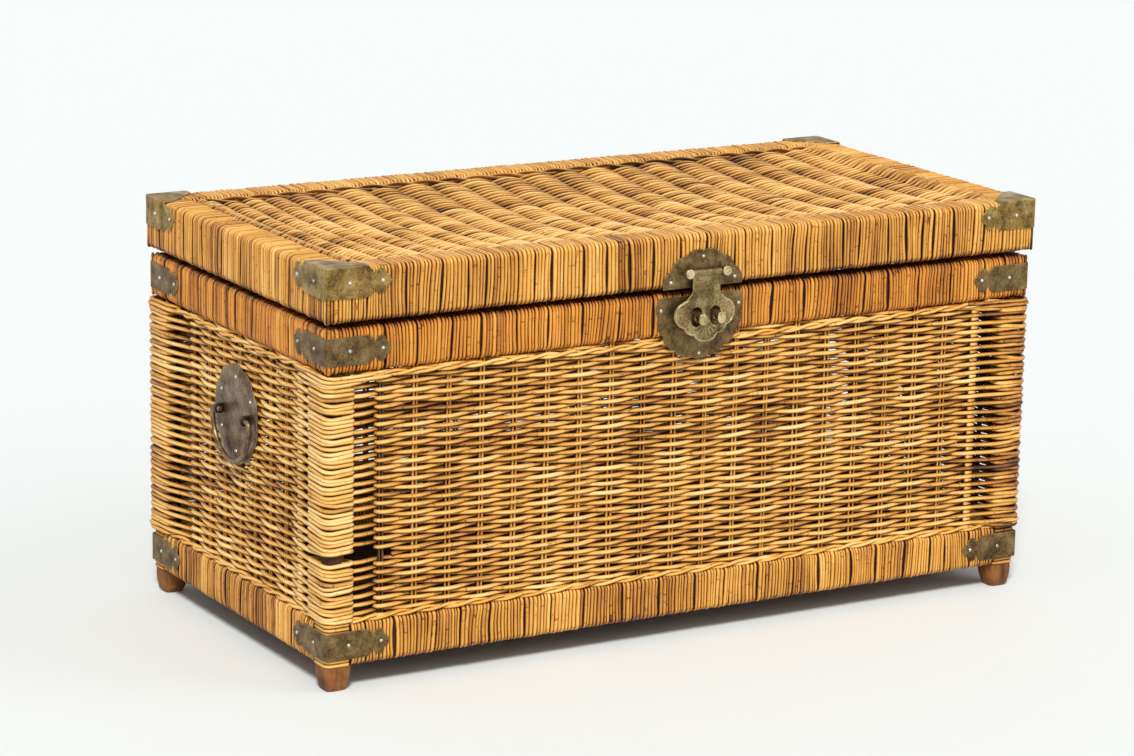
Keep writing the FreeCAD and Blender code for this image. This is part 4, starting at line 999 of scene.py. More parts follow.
@dataclass
class WovenSide:
    """One woven side: rods in plain weave over double stakes, between twisted borders."""

    rows: Rows
    index: int
    rod_spread: Span = (0.94, 1.07)
    centre: float = 8.0 * MM
    swing: float = 3.3 * MM
    steps: int = 6
    tremor: float = 0.35 * MM
    # Height of the slow waves that all rods of a side share
    wave: float = 0.9 * MM
    # Stakes: diameter, half the gap in a pair, reach behind the rails and tones
    stake: float = 3.5 * MM
    stake_gap: float = 0.25 * MM
    stake_reach: float = 3 * MM
    stake_tone: float = 0.58
    end_stake_tone: float = -0.28
    # Ends of sides, with True for the left end: all rows cross, or every second one goes round the corner
    closed_ends: tuple[tuple[str, bool], ...] = (("back", True), ("back", False), ("right", True))
    round_ends: tuple[tuple[str, bool], ...] = (("front", False), ("left", True))
    # Points of the small loop in which a row turns back, as shares of its reach and of the swing
    turn_out: tuple[float, ...] = (0.75, 1.0, 0.75, -0.6)
    turn_deep: tuple[float, ...] = (0.75, 0.0, -0.8, -1.0)
    # Rows that slip in behind a corner's winding: their depth and reach there, and their bulge on the way
    behind_depth: float = 6.5 * MM
    behind_reach: float = 9 * MM
    crossing_bulge: float = 3.0 * MM
    # Rows that go round a corner reach beyond its winding, and their last two points are tucked in
    round_reach: float = 4 * MM
    round_tuck: Span = (1.5 * MM, 6.0 * MM)
    # Painted light: rods that have gone round a corner are painted paler, as rods in front of a stake are
    round_tone: float = 0.3
    tear_reach: float = 12 * MM
    # The stain on the front, from its middle and from the weave's top
    stain_place: Span = (-335 * MM, -46 * MM)
    stain_size: Span = (48 * MM, 7 * MM)
    stain_tone: float = -0.22
    # Upper and lower border: offset from the weave's edge, and sag
    borders: tuple[Span, Span] = ((-3.2 * MM, 3.4 * MM), (1.6 * MM, 0.6 * MM))
    border_depth: float = 4.2 * MM
    border_rod: float = 3.9 * MM
    twist_radius: float = 2.0 * MM
    twist_length: float = 62 * MM
    seed: int = 41

    def __post_init__(self) -> None:
        """Take the side's frame, look and stakes."""
        self.side = self.rows.base.side(self.index)
        self.look = SIDE_LOOKS[self.index]
        self.places = self.look.stakes.places()

    def build(self) -> None:
        """Weave the side and lay its borders."""
        self.weave()
        self.border()

    def drift(self, s: np.ndarray, z: np.ndarray) -> np.ndarray:
        """Slow rise and fall that all rods share, and that dies out at both borders.

        Args:
            s: places along the side.
            z: heights.

        Returns:
            How far the rods are off their level.
        """
        phase = 1.7 * self.index
        wave = np.sin(17 * s + 21 * z + phase) + 0.7 * np.sin(41 * s - 33 * z + 2 * phase)
        rim = np.clip((z - self.rows.low) / (self.rows.high - self.rows.low), 0, 1)
        return self.wave * wave * np.sin(math.pi * rim)

    def weave(self) -> None:
        """Weave the rods over the stakes."""
        random = np.random.default_rng(self.seed + self.index)
        side, look = self.side, self.look
        bundle = Bundle(f"weave_{side.name}", above=look.above)
        on_front = side.name == "front"
        for parity in (0, 1):
            heights = self.rows.heights()[parity::2, None]
            count = len(heights)
            s, d, gone_round = self.row(parity)
            z = heights + self.drift(s, heights) * (gone_round == 0)
            tremor = wanders(random, count, len(s), reach=4, size=self.tremor)
            paths = side.place(s, d + tremor * 0.4, z + tremor)
            # Painted shade: rods are darker behind a stake and paler in front of one, and points gone round
            # a corner are painted pale as if in front
            depth = np.clip((d - self.centre) / self.swing, -1, 1) * (gone_round == 0)
            at_left = s < self.places[look.left_stake]
            tone = look.tone - look.shade * (depth - self.round_tone * gone_round)
            tone = tone + look.left_shade_tone * at_left + look.right_shade_tone * (s > self.places[-1])
            tone = tone + wander(random, count, reach=2, size=0.06)[:, None]
            tone = tone + wanders(random, count, len(s), reach=16, size=0.09)
            tone = tone + on_front * self.stain_tone * self.stain(s, z)
            radius = self.rows.rod / 2 * random.uniform(*self.rod_spread, (count, 1))
            radius = radius * (look.thick + look.left_thick * at_left)
            torn = on_front & np.isin(np.arange(count) * 2 + parity, self.rows.torn)
            if torn.any():
                rest = np.ix_(torn, s > self.places[0] + self.tear_reach)
                bundle.lay(paths[rest], radius[rest], UPRIGHT, tone[rest])
            bundle.lay(paths[~torn], radius[~torn], UPRIGHT, tone[~torn])
        self.raise_stakes(bundle, random)
        bundle.make(STRAW_CANE, Body.BASE, Slot.WOVEN_SIDE, f"panel_{side.name}")

    def stain(self, s: np.ndarray, z: np.ndarray) -> np.ndarray:
        """Strength, from 0 to 1, of the small dark stain in the front's upper left.

        Args:
            s: places along the front.
            z: heights.

        Returns:
            The strength.
        """
        along = (s - self.stain_place[0]) / self.stain_size[0]
        up = (z - self.rows.high - self.stain_place[1]) / self.stain_size[1]
        return np.exp(-(along**2) - up**2)

    def row(self, parity: int) -> Course:
        """Course of a row from end to end of the side.

        Args:
            parity: 0 or 1, which stakes the row passes in front of.

        Returns:
            Places along the side, depths, and 1 for the points that have gone round a corner, else 0.
        """
        stakes = self.look.stakes.count - 1
        inner = np.linspace(self.places[0], self.places[-1], self.steps * stakes + 1)
        turns = np.linspace(0, stakes, len(inner)) + parity
        d = self.centre - self.swing * np.cos(math.pi * turns)
        left_s, left_d, left_round = self.row_end(-inner[0], d[0], parity, at_left=True)
        right_s, right_d, right_round = self.row_end(inner[-1], d[-1], parity, at_left=False)
        s = np.concatenate((-left_s[::-1], inner, right_s))
        gone_round = np.concatenate((left_round[::-1], 0 * inner, right_round))
        return s, np.concatenate((left_d[::-1], d, right_d)), gone_round

    def row_end(self, last: float, depth: float, parity: int, at_left: bool) -> Course:
        """Course of a row beyond its last stake, outwards from the side's middle.

        Args:
            last: distance of the last stake from the side's middle.
            depth: the row's depth at that stake.
            parity: 0 or 1, which stakes the row passes in front of.
            at_left: whether this is the side's left end.

        Returns:
            Distances from the side's middle, depths, and 1 for the points that have gone round a corner.
        """
        end = (self.side.name, at_left)
        if not parity and end not in self.closed_ends:
            return self.turn_back(last, depth)
        if not parity or end not in self.round_ends:
            return self.slip_behind(last, depth)
        return self.go_round(last, depth)

    def turn_back(self, last: float, depth: float) -> Course:
        """Course of a row that turns back round the last stake.

        Args:
            last: distance of the last stake from the side's middle.
            depth: the row's depth at that stake.

        Returns:
            The course, as for row_end.
        """
        s = last + (self.stake + self.rows.rod / 2) * np.array(self.turn_out)
        d = self.centre - np.sign(self.centre - depth) * self.swing * np.array(self.turn_deep)
        return s, d, 0 * s

    def slip_behind(self, last: float, depth: float) -> Course:
        """Course of a row that crosses the corner's gap and slips in behind its winding.

        Args:
            last: distance of the last stake from the side's middle.
            depth: the row's depth at that stake.

        Returns:
            The course, as for row_end.
        """
        end = self.side.half - CORNER.width + CORNER.proud + self.behind_reach
        share = np.linspace(0, 1, 7)[1:]
        ease = 3 * share**2 - 2 * share**3
        d = depth + ease * (self.behind_depth - depth) - self.crossing_bulge * np.sin(math.pi * share) ** 2
        return last + share * (end - last), d, 0 * share

    def go_round(self, last: float, depth: float) -> Course:
        """Course of a row that crosses the gap, comes to the front and goes round the corner.

        Args:
            last: distance of the last stake from the side's middle.
            depth: the row's depth at that stake.

        Returns:
            The course, as for row_end.
        """
        inset = self.rows.rod / 2 - CORNER.shared_proud
        bend = CORNER.bend
        start = self.side.half - inset - bend
        share = np.linspace(0, 1, 8)[1:]
        quick = np.clip(1.5 * share, 0, 1)
        ease = quick**2 * (3 - 2 * quick)
        angles = np.radians(np.linspace(18, 90, 5))
        across, sunk = bend * np.sin(angles), bend * (1 - np.cos(angles))
        back = np.linspace(inset + bend, CORNER.along_end + self.round_reach, 5)[1:]
        s = np.concatenate((last + share * (start - last), start + across, start + bend + 0 * back))
        d = np.concatenate((depth + ease * (inset - depth), inset + sunk, back))
        s[-2:] -= self.round_tuck
        return s, d, (np.arange(len(s)) >= len(share) - 1).astype(float)

    def raise_stakes(self, bundle: Bundle, random: np.random.Generator) -> None:
        """Stand the double stakes.

        Args:
            bundle: the side's bundle.
            random: source of random numbers.
        """
        z = np.linspace(self.rows.low - self.stake_reach, self.rows.high + self.stake_reach, 12)
        gap = self.stake / 2 + self.stake_gap
        s = np.concatenate((self.places - gap, self.places + gap))
        s = s[:, None] + wanders(random, len(s), len(z), reach=3, size=self.tremor)
        tone = self.stake_tone + random.normal(size=len(s)) * 0.06
        tone.reshape(2, -1)[:, [0, -1]] += self.end_stake_tone
        bundle.lay(self.side.place(s, self.centre, z), self.stake / 2, self.side.along(), tone)

    def border(self) -> None:
        """Lay the twisted pairs of rods along the side's upper and lower edges."""
        random = np.random.default_rng(self.seed + 19 + self.index)
        bundle = Bundle(f"border_{self.side.name}", above=0.25)
        reach = self.side.half - CORNER.width
        s = np.linspace(-reach, reach, round(2 * reach / (5 * MM)))
        for edge, (offset, sag) in zip((self.rows.high, self.rows.low), self.borders):
            droop = sag * (1 - (s / reach) ** 2) + wander(random, len(s), reach=14, size=0.7 * MM)
            twist = 2 * math.pi * s / self.twist_length + random.uniform(0, 6)
            for turn in (twist, twist + math.pi):
                d = self.border_depth - self.twist_radius * np.cos(turn)
                z = edge + offset - droop + self.twist_radius * np.sin(turn)
                tone = 0.70 + wander(random, len(s), reach=12, size=0.06)[None]
                bundle.lay(self.side.place(s, d, z)[None], self.border_rod / 2, UPRIGHT, tone)
        bundle.make(HONEY_CANE, Body.BASE, Slot.WOVEN_SIDE)


@dataclass
class WoundCorner:
    """One corner pole's winding, and the rods round the corners of the rail and borders beside it."""

    rows: Rows
    index: int
    random: np.random.Generator
    tone: float = 0.62
    # How much paler each corner is than the usual tone
    paler: tuple[float, ...] = (0.12, -0.17, 0.0, -0.07)
    rod_spread: Span = (0.94, 1.10)
    shared_rod: float = 1.07
    # Rows at the top that make room for the border's rods
    free_rows: int = 2
    lift: float = 0.75 * MM
    # The loops sag where they go round the outer corner
    droop: Span = (0.5 * MM, 3.0 * MM)
    droop_reach: float = 22 * MM
    # Rods round the lower rail's corner
    rail_pitch: float = 4.4 * MM
    rail_rod: float = 4.3 * MM
    rail_bend: float = 6 * MM
    rail_tone: float = 0.55
    rail_tuck: float = 3 * MM
    # The border's rods: how far each reaches on both sides of the corner, and how far it stands off
    top_reaches: tuple[Span, ...] = ((66 * MM, 88 * MM), (82 * MM, 60 * MM), (52 * MM, 74 * MM))
    low_reaches: tuple[Span, ...] = ((58 * MM, 50 * MM), (47 * MM, 62 * MM))
    loose: tuple[float, ...] = (0.6 * MM, 2.0 * MM, 1.0 * MM)
    top_drop: float = 3.5 * MM
    low_rise: float = 1.6 * MM
    border_pitch: float = 3.9 * MM
    border_rod: float = 4.1 * MM
    border_inset: float = 0.65 * MM
    end_lift: float = 1.2 * MM
    tuck_length: float = 22 * MM
    tuck_depth: float = 6.5 * MM

    def __post_init__(self) -> None:
        """Take the side that has the corner at its left end, and start the corner's bundle."""
        self.name = CORNER_NAMES[self.index]
        self.side = self.rows.base.side(self.index)
        self.shared = self.name in CORNER.shared
        self.proud = CORNER.shared_proud if self.shared else CORNER.proud
        self.gain = self.paler[self.index]
        self.bundle = Bundle(f"winding_{self.name}", above=0.4)

    def build(self) -> None:
        """Wind the corner pole, and the ends of the rail and borders beside it."""
        self.wind_pole()
        self.wrap_rail()
        levels = [(self.rows.high - self.top_drop, -self.border_pitch, self.top_reaches, 0.68 + self.gain)]
        if self.shared:
            levels.append((self.rows.low + self.low_rise, self.border_pitch, self.low_reaches, 0.66))
        for height, pitch, reaches, tone in levels:
            for turn, reach in enumerate(reaches):
                out = self.proud - CORNER.proud + self.loose[turn]
                self.wrap_border(height + turn * pitch, reach, tone, out)
        finish = STRAW_CANE if self.name == "front_left" else HONEY_CANE
        # The solids' winding is one node, which the first corner's piece stands for
        stands_for = ("corner_weave",) if self.index == 0 else ()
        self.bundle.make(finish, Body.BASE, Slot.WOVEN_SIDE, *stands_for)

    def wind_pole(self) -> None:
        """Wind the corner pole."""
        random, plan, count = self.random, self.pole_plan(), self.rows.count
        tone = self.tone + self.gain + wander(random, count, reach=3, size=0.07)
        tone = (tone + random.normal(size=count) * 0.09)[:, None]
        tone = tone + wanders(random, count, len(plan), reach=4, size=0.08)
        lift = wanders(random, count, len(plan), reach=5, size=self.lift)
        outer = np.exp(-((np.hypot(plan[:, 0] + self.side.half, plan[:, 1]) / self.droop_reach) ** 2))
        z = self.rows.heights()[:, None] + lift - random.uniform(*self.droop, (count, 1)) * outer
        paths = self.side.place(plan[:, 0], plan[:, 1], z)
        radius = self.rows.rod / 2 * random.uniform(*self.rod_spread, count)
        radius = radius * (self.shared_rod if self.shared else 1.0)
        kept = np.arange(count) < count - self.free_rows
        if self.shared:
            kept[1::2] = False
        if self.name == "front_left":
            kept[list(self.rows.torn)] = False
        self.bundle.lay(paths[kept], radius[kept], UPRIGHT, tone[kept], closed=True)

    def pole_plan(self) -> np.ndarray:
        """Course of one turn round the corner pole.

        Returns:
            Pairs of place and depth.
        """
        widths = np.array((CORNER.along_front, CORNER.along_end)[:: 1 if self.index % 2 == 0 else -1])
        wide, deep = widths + CORNER.shared_extra * self.shared - self.rows.rod
        tight = CORNER.shared_tight_bend if self.shared else CORNER.tight_bend
        bend = CORNER.bend - self.rows.rod / 2
        back = CORNER.width - self.rows.rod
        # Middle, radius, first angle and step of each bend
        bends = (
            (bend, bend, bend, 180, 18),
            (wide - tight, tight, tight, 270, 30),
            (back - tight, back - tight, tight, 0, 30),
            (tight, deep - tight, tight, 90, 30),
        )
        arcs = []
        for across, inward, radius, start, step in bends:
            angles = np.radians(start + np.arange(0, 91, step))
            arc = radius * np.stack((np.cos(angles), np.sin(angles)), axis=-1)
            arcs.append(arc + (across, inward))
        return np.concatenate(arcs) + self.rows.rod / 2 - self.proud - (self.side.half, 0)

    def wrap_rail(self) -> None:
        """Lay rods round the lower rail's corner, with both ends tucked in."""
        inset = self.rows.rod / 2
        end = CORNER.width - 2 * MM
        run = np.array(((end, inset + self.rail_tuck), (end - 1.5 * MM, inset), (end / 2, inset)))
        angles = np.radians(270 - np.arange(0, 91, 18))
        arc = inset + self.rail_bend * (1 + np.stack((np.cos(angles), np.sin(angles)), axis=-1))
        plan = np.concatenate((run, arc, run[::-1, ::-1])) - (self.side.half, 0)
        low, high = self.rows.base.low, self.rows.low
        count = round((high - low) / self.rail_pitch)
        heights = low + (np.arange(count) + 0.5) * (high - low) / count
        tone = self.rail_tone + self.gain * 0.5 + self.random.normal(size=count) * 0.06
        paths = self.side.place(plan[:, 0], plan[:, 1], heights[:, None])
        self.bundle.lay(paths, self.rail_rod / 2, UPRIGHT, tone)

    def wrap_border(self, height: float, reach: Span, tone: float, out: float) -> None:
        """Lay one of the border's long rods round the corner.

        Args:
            height: the rod's height at the corner.
            reach: how far it goes on this side, and on the side round the corner.
            tone: how pale it is.
            out: how far it bulges out at the corner.
        """
        inset, bend = self.border_inset, CORNER.bend
        near, far = reach
        run = np.linspace(near, inset + bend, 9)[:-1]
        angles = np.radians(np.linspace(270, 180, 7))
        back = np.linspace(inset + bend, far, 9)[1:]
        bulge = out * np.exp(-(np.linspace(-2.2, 2.2, len(run) + len(angles) + len(back)) ** 2))
        across = (run, inset + bend + bend * np.cos(angles), inset + self.tuck(back, far))
        deep = (inset + self.tuck(run, near), inset + bend + bend * np.sin(angles), back)
        s, d = np.concatenate(across) - bulge - self.side.half, np.concatenate(deep) - bulge
        course = np.linspace(-1, 1, len(s))
        z = height + self.end_lift * course**2 + wander(self.random, len(s), reach=6, size=0.5 * MM)
        tones = tone + wander(self.random, len(s), reach=6, size=0.06)[None]
        self.bundle.lay(self.side.place(s, d, z)[None], self.border_rod / 2, UPRIGHT, tones)

    def tuck(self, run: np.ndarray, end: float) -> np.ndarray:
        """How far a rod that ends behind the weave has slipped in, along its last stretch."""
        return self.tuck_depth * np.clip((run - end + self.tuck_length) / self.tuck_length, 0, 1) ** 2


# Woven lid and bottom


@dataclass
class WovenLid:
    """The lid's dished top: rods from end to end over stakes from front to back."""

    lid: Level
    # The weave's middle layer lies this far below the rails' tops at its edges, and sags between them
    edge_drop: float = 10 * MM
    sag: float = 14 * MM
    end_sag: float = 3 * MM
    rows: int = 84
    rod: float = 4.7 * MM
    rod_spread: Span = (0.93, 1.08)
    swing: float = 4.0 * MM
    tremor: float = 0.35 * MM
    sway: float = 1.6 * MM
    left_drop: float = 4 * MM
    tone: float = 0.57
    # Painted light and shade: how much paler the rods are over a stake and darker between stakes, and how
    # much paler where they lie flush at the right end
    crest_shading: float = 0.30
    end_tone: float = 0.08
    # The stakes stand close at the left and wider to the right, with none near the right end
    close: float = 23 * MM
    wide: float = 41 * MM
    widening_share: float = 0.55
    plain_end: float = 46 * MM
    stake: float = 3.6 * MM
    stake_pair: float = 4.0 * MM
    # Ridge of short, steep rods beside the left rail
    braid_width: float = 21 * MM
    braid_pitch: float = 4.7 * MM
    braid_rod: float = 4.1 * MM
    braid_slant: Span = (7 * MM, 11 * MM)
    braid_height: Span = (8.0 * MM, 9.6 * MM)
    braid_drop: float = 9 * MM
    braid_foot: float = 3.5 * MM
    # Twisted pairs along the back and the front edge: height of each above the weave
    twist_heights: Span = (2.5 * MM, 1.0 * MM)
    twist_inset: float = 3.4 * MM
    twist_length: float = 70 * MM
    twist_wide: float = 1.7 * MM
    twist_high: float = 2.4 * MM
    twist_rod: float = 4.0 * MM
    seed: int = 70

    def __post_init__(self) -> None:
        """Take the room inside the rails, find the stakes' places and start the lid's bundle."""
        self.reach = self.lid.half_length - self.lid.rail_depth
        self.half = self.lid.half_depth - self.lid.rail_depth
        self.stakes = self.stake_places()
        self.random = np.random.default_rng(self.seed)
        self.bundle = Bundle("weave_lid")

    def build(self) -> None:
        """Weave the lid's top, with its stakes, edge twists and braid."""
        self.weave()
        self.lay_stakes()
        self.twist_edges()
        self.braid()
        self.bundle.make(STRAW_CANE, Body.LID, Slot.WOVEN_LID, "panel_lid")

    def surface(self, x: np.ndarray, y: np.ndarray) -> np.ndarray:
        """Height of the weave's middle layer.

        Args:
            x: places along the trunk.
            y: places across it, from its middle.

        Returns:
            Heights above the floor.
        """
        sag = self.end_sag + (self.sag - self.end_sag) * (1 - (x / self.reach) ** 2)
        return self.lid.high - self.edge_drop - sag * (1 - (y / self.half) ** 2)

    def stake_places(self) -> np.ndarray:
        """Places of the stakes along the trunk.

        Returns:
            The places, from left to right.
        """
        places = [-self.reach + self.braid_width - 2 * MM]
        while places[-1] < self.reach - self.plain_end:
            share = min(1.0, (places[-1] + self.reach) / (self.widening_share * self.reach))
            places.append(places[-1] + self.close + (self.wide - self.close) * share)
        return np.array(places)

    def course(self) -> np.ndarray:
        """Places along a rod, with the same number of steps between any two stakes.

        Returns:
            The places.
        """
        stakes = self.stakes
        spans = [np.linspace(-self.reach, stakes[0], 4)[:-1]]
        spans += [np.linspace(here, after, 7)[:-1] for here, after in zip(stakes[:-1], stakes[1:])]
        return np.concatenate(spans + [np.linspace(stakes[-1], self.reach + 5 * MM, 6)])

    def weave(self) -> None:
        """Lay the rods that run from end to end."""
        random, stakes, reach, half = self.random, self.stakes, self.reach, self.half
        x = self.course()
        phase = np.interp(x, stakes, np.arange(len(stakes)))
        rows = np.linspace(-half + self.rod / 2, half - self.rod / 2, self.rows)
        ends = np.clip((x - stakes[-1]) / (reach - stakes[-1]), 0, 1)
        starts = np.clip((stakes[0] - x) / (stakes[0] + reach), 0, 1)
        flush = 3 * ends**2 - 2 * ends**3
        for parity in (0, 1):
            y = rows[parity::2, None]
            count = len(y)
            wave = np.cos(math.pi * (phase + parity)) * (1 - ends)
            sway = self.sway * np.sin(9 * x + 7 * y) * np.sin(math.pi * (y / half + 1) / 2)
            tremor = wanders(random, count, len(x), reach=4, size=self.tremor)
            z = self.surface(x, y) + self.swing * wave - starts * self.left_drop + 0.5 * tremor
            z = z + flush * (self.lid.high - self.rod / 2 - 0.6 * MM - z)
            # Painted light and shade: paler on the crests over the stakes, darker in the dips
            tone = self.tone + self.crest_shading * wave + self.end_tone * ends
            tone = tone + wander(random, count, reach=3, size=0.07)[:, None]
            tone = tone + wanders(random, count, len(x), reach=9, size=0.10)
            radius = self.rod / 2 * random.uniform(*self.rod_spread, count)
            self.bundle.lay(points(x, y + sway + tremor + self.lid.middle_y, z), radius, BACKWARD, tone)

    def lay_stakes(self) -> None:
        """Lay the pairs of stakes from front to back."""
        y = np.linspace(-self.half, self.half, 26)
        for offset in (-self.stake_pair / 2, self.stake_pair / 2):
            x = self.stakes[:, None] + offset
            paths = points(x, y + self.lid.middle_y, self.surface(x, y))
            self.bundle.lay(paths, self.stake / 2, UPRIGHT, 0.45)

    def twist_edges(self) -> None:
        """Lay twisted pairs of rods along the back and front edges of the lid's top."""
        x = np.linspace(-self.reach + 4 * MM, self.reach - 4 * MM, 150)
        twist = 2 * math.pi * x / self.twist_length
        inset = self.half - self.twist_inset
        for edge, height in zip((inset, -inset), self.twist_heights):
            for turn in (twist, twist + math.pi):
                y = edge + self.twist_wide * np.cos(turn) + self.lid.middle_y
                z = self.surface(x, edge) + height + self.twist_high * (1 + np.sin(turn))
                tone = 0.58 + wander(self.random, len(x), reach=8, size=0.06)[None]
                self.bundle.lay(points(x, y, z)[None], self.twist_rod / 2, BACKWARD, tone)

    def braid(self) -> None:
        """Lay the ridge of short, steep rods beside the left rail."""
        random = self.random
        share = np.linspace(0, 1, 8)
        middle = np.arange(-self.half + 5 * MM, self.half - 4 * MM, self.braid_pitch)[:, None]
        size = middle.shape
        x = -self.reach - 1 * MM + self.braid_width * share + random.normal(size=size) * 0.7 * MM
        y = middle + (share - 0.5) * random.uniform(*self.braid_slant, size)
        start, end = self.lid.high - self.braid_drop, self.surface(x, y) - self.braid_foot
        foot = start * (1 - share) + end * share
        z = foot + random.uniform(*self.braid_height, size) * np.sin(math.pi * share**0.8)
        # Painted light and shade: paler at the top of each rod's arch, darker at its feet where it dips in
        tone = 0.40 + 0.30 * np.sin(math.pi * share) + random.normal(size=size) * 0.06
        self.bundle.lay(points(x, y + self.lid.middle_y, z), self.braid_rod / 2, BACKWARD, tone)


@dataclass
class WovenBottom:
    """The trunk's woven bottom between the lower rails."""

    rod: float = 5.2 * MM
    pitch: float = 5.9 * MM
    tremor: float = 0.4 * MM
    stake: float = 4.0 * MM
    stake_pitch: float = 52 * MM
    stake_pair: float = 4.6 * MM
    bite: float = 1.0 * MM
    seed: int = 90

    def build(self) -> None:
        """Weave the bottom."""
        random = np.random.default_rng(self.seed)
        bundle = Bundle("weave_bottom")
        low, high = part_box("panel_bottom")
        middle = (low.z + high.z) / 2
        swing = (self.rod + self.stake) / 2 - self.bite
        stakes = round((high.x - low.x) / self.stake_pitch)
        x = np.linspace(low.x, high.x, 4 * stakes + 1)
        rows = np.arange(low.y + self.rod / 2, high.y - self.rod / 2, self.pitch)
        for parity in (0, 1):
            y = rows[parity::2, None]
            phase = math.pi * ((x - low.x) / (high.x - low.x) * stakes + parity)
            tremor = wanders(random, len(y), len(x), reach=3, size=self.tremor)
            tone = 0.34 + random.normal(size=len(y)) * 0.06
            bundle.lay(points(x, y + tremor, middle + swing * np.cos(phase)), self.rod / 2, UPRIGHT, tone)
        for offset in (-self.stake_pair / 2, self.stake_pair / 2):
            across = np.linspace(low.x, high.x, stakes + 1)[1:-1, None] + offset
            paths = points(across, np.linspace(low.y, high.y, 4), middle)
            bundle.lay(paths, self.stake / 2, UPRIGHT, 0.36)
        bundle.make(AMBER_CANE, Body.BASE, Slot.WOVEN_SIDE, "panel_bottom")


# Metal fittings and feet


@dataclass
class Fitting:
    """A metal fitting: a copy of the solid's own mesh with its edges rounded off."""

    node: str
    body: Body
    slot: Slot
    finish: Brass
    round_by: float = 0.35 * MM
    # Painted highlight: a brighter brass for the parts that stand out in front, and their depth
    highlight_finish: Brass | None = None
    head_depth: float = 1.6 * MM
    weld: float = 0.001 * MM
    flat_angle: float = math.radians(1)
    sharp_angle: float = math.radians(40)
    smooth_angle: float = math.radians(35)

    def build(self) -> None:
        """Make the rounded copy, which stands for the solid."""
        mesh = bpy.data.objects[self.node].data.copy()
        mesh.name = f"{self.node}_rounded"
        clean = bmesh.new()
        clean.from_mesh(mesh)
        bmesh.ops.remove_doubles(clean, verts=clean.verts, dist=self.weld)
        bmesh.ops.dissolve_limit(clean, angle_limit=self.flat_angle, verts=clean.verts, edges=clean.edges)
        sharp = [
            edge for edge in clean.edges
            if len(edge.link_faces) == 2 and edge.calc_face_angle(0.0) > self.sharp_angle
        ]
        bmesh.ops.bevel(
            clean, geom=sharp, offset=self.round_by, offset_type="OFFSET", segments=2, profile=0.6,
            affect="EDGES", clamp_overlap=True,
        )
        for face in clean.faces:
            face.smooth = True
        clean.to_mesh(mesh)
        clean.free()
        mesh.set_sharp_from_angle(angle=self.smooth_angle)
        mesh.materials.clear()
        mesh.materials.append(self.finish.material())
        # Painted highlight: the front faces take the brighter brass
        if self.highlight_finish:
            mesh.materials.append(self.highlight_finish.material())
            front = min(vertex.co.y for vertex in mesh.vertices)
            for face in mesh.polygons:
                if face.center.y < front + self.head_depth:
                    face.material_index = 1
        add_piece(mesh.name, mesh, self.body, self.slot, self.node)


@dataclass
class FlapRelief:
    """The hasp flap's raised rim and the fan of ridges embossed at its foot."""

    # Centre of the rim's curve, below the pin
    centre_drop: float = 50 * MM
    rim_inset: float = 1.7 * MM
    rim_radius: float = 0.42 * MM
    # The flap's edge is followed where it is this far from the middle, and below the neck
    nearest_rim: float = 23 * MM
    neck: float = 22 * MM
    fan: tuple[float, ...] = (-64, -42, -21, 0, 21, 42, 64)
    fan_drop: float = 6 * MM
    fan_reach: Span = (7 * MM, 16.5 * MM)
    ridge_radius: float = 0.34 * MM

    def face_edge(self) -> np.ndarray:
        """Points of the outline and holes of the flap's front face.

        Returns:
            The points.
        """
        shape = bmesh.new()
        shape.from_mesh(bpy.data.objects["hasp_flap"].data)
        bmesh.ops.remove_doubles(shape, verts=shape.verts, dist=0.001 * MM)
        edge_points = []
        for edge in shape.edges:
            fronts = [face for face in edge.link_faces if face.normal.y < -0.9]
            if len(fronts) == 1 and len(edge.link_faces) == 2:
                edge_points += [tuple(vertex.co) for vertex in edge.verts]
        shape.free()
        return np.array(edge_points)

    def build(self) -> None:
        """Lay the rim and the ridges, sunk half into the flap's face."""
        low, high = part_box("hasp_flap")
        pin_low, pin_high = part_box("hasp_pin")
        middle = (low.x + high.x) / 2
        centre = (pin_low.z + pin_high.z) / 2 - self.centre_drop
        x, y, z = (self.face_edge() - (middle, 0, centre)).T
        reach = np.hypot(x, z)
        outer = (reach > self.nearest_rim) & (z < self.neck)
        angle = np.arctan2(x[outer], -z[outer])
        order = np.argsort(angle)
        turns = np.linspace(angle.min(), angle.max(), 140)
        rim = np.interp(turns, angle[order], reach[outer][order]) - self.rim_inset
        lines = [(rim * np.sin(turns), -rim * np.cos(turns), self.rim_radius)]
        ridge = np.linspace(*self.fan_reach, 5)
        for turn in np.radians(self.fan):
            lines.append((ridge * np.sin(turn), -self.fan_drop - ridge * np.cos(turn), self.ridge_radius))
        bundle = Bundle("hasp_flap_relief")
        order = np.argsort(x)
        for across, up, radius in lines:
            depth = np.interp(across, x[order], y[order])
            bundle.lay(points(across + middle, depth, up + centre)[None], radius, BACKWARD, 0.5)
        # The rim and ridges take the brighter brass, a painted highlight on the raised lines
        bundle.make(PEG_HIGHLIGHT_BRASS, Body.FLAP, Slot.FLAP)


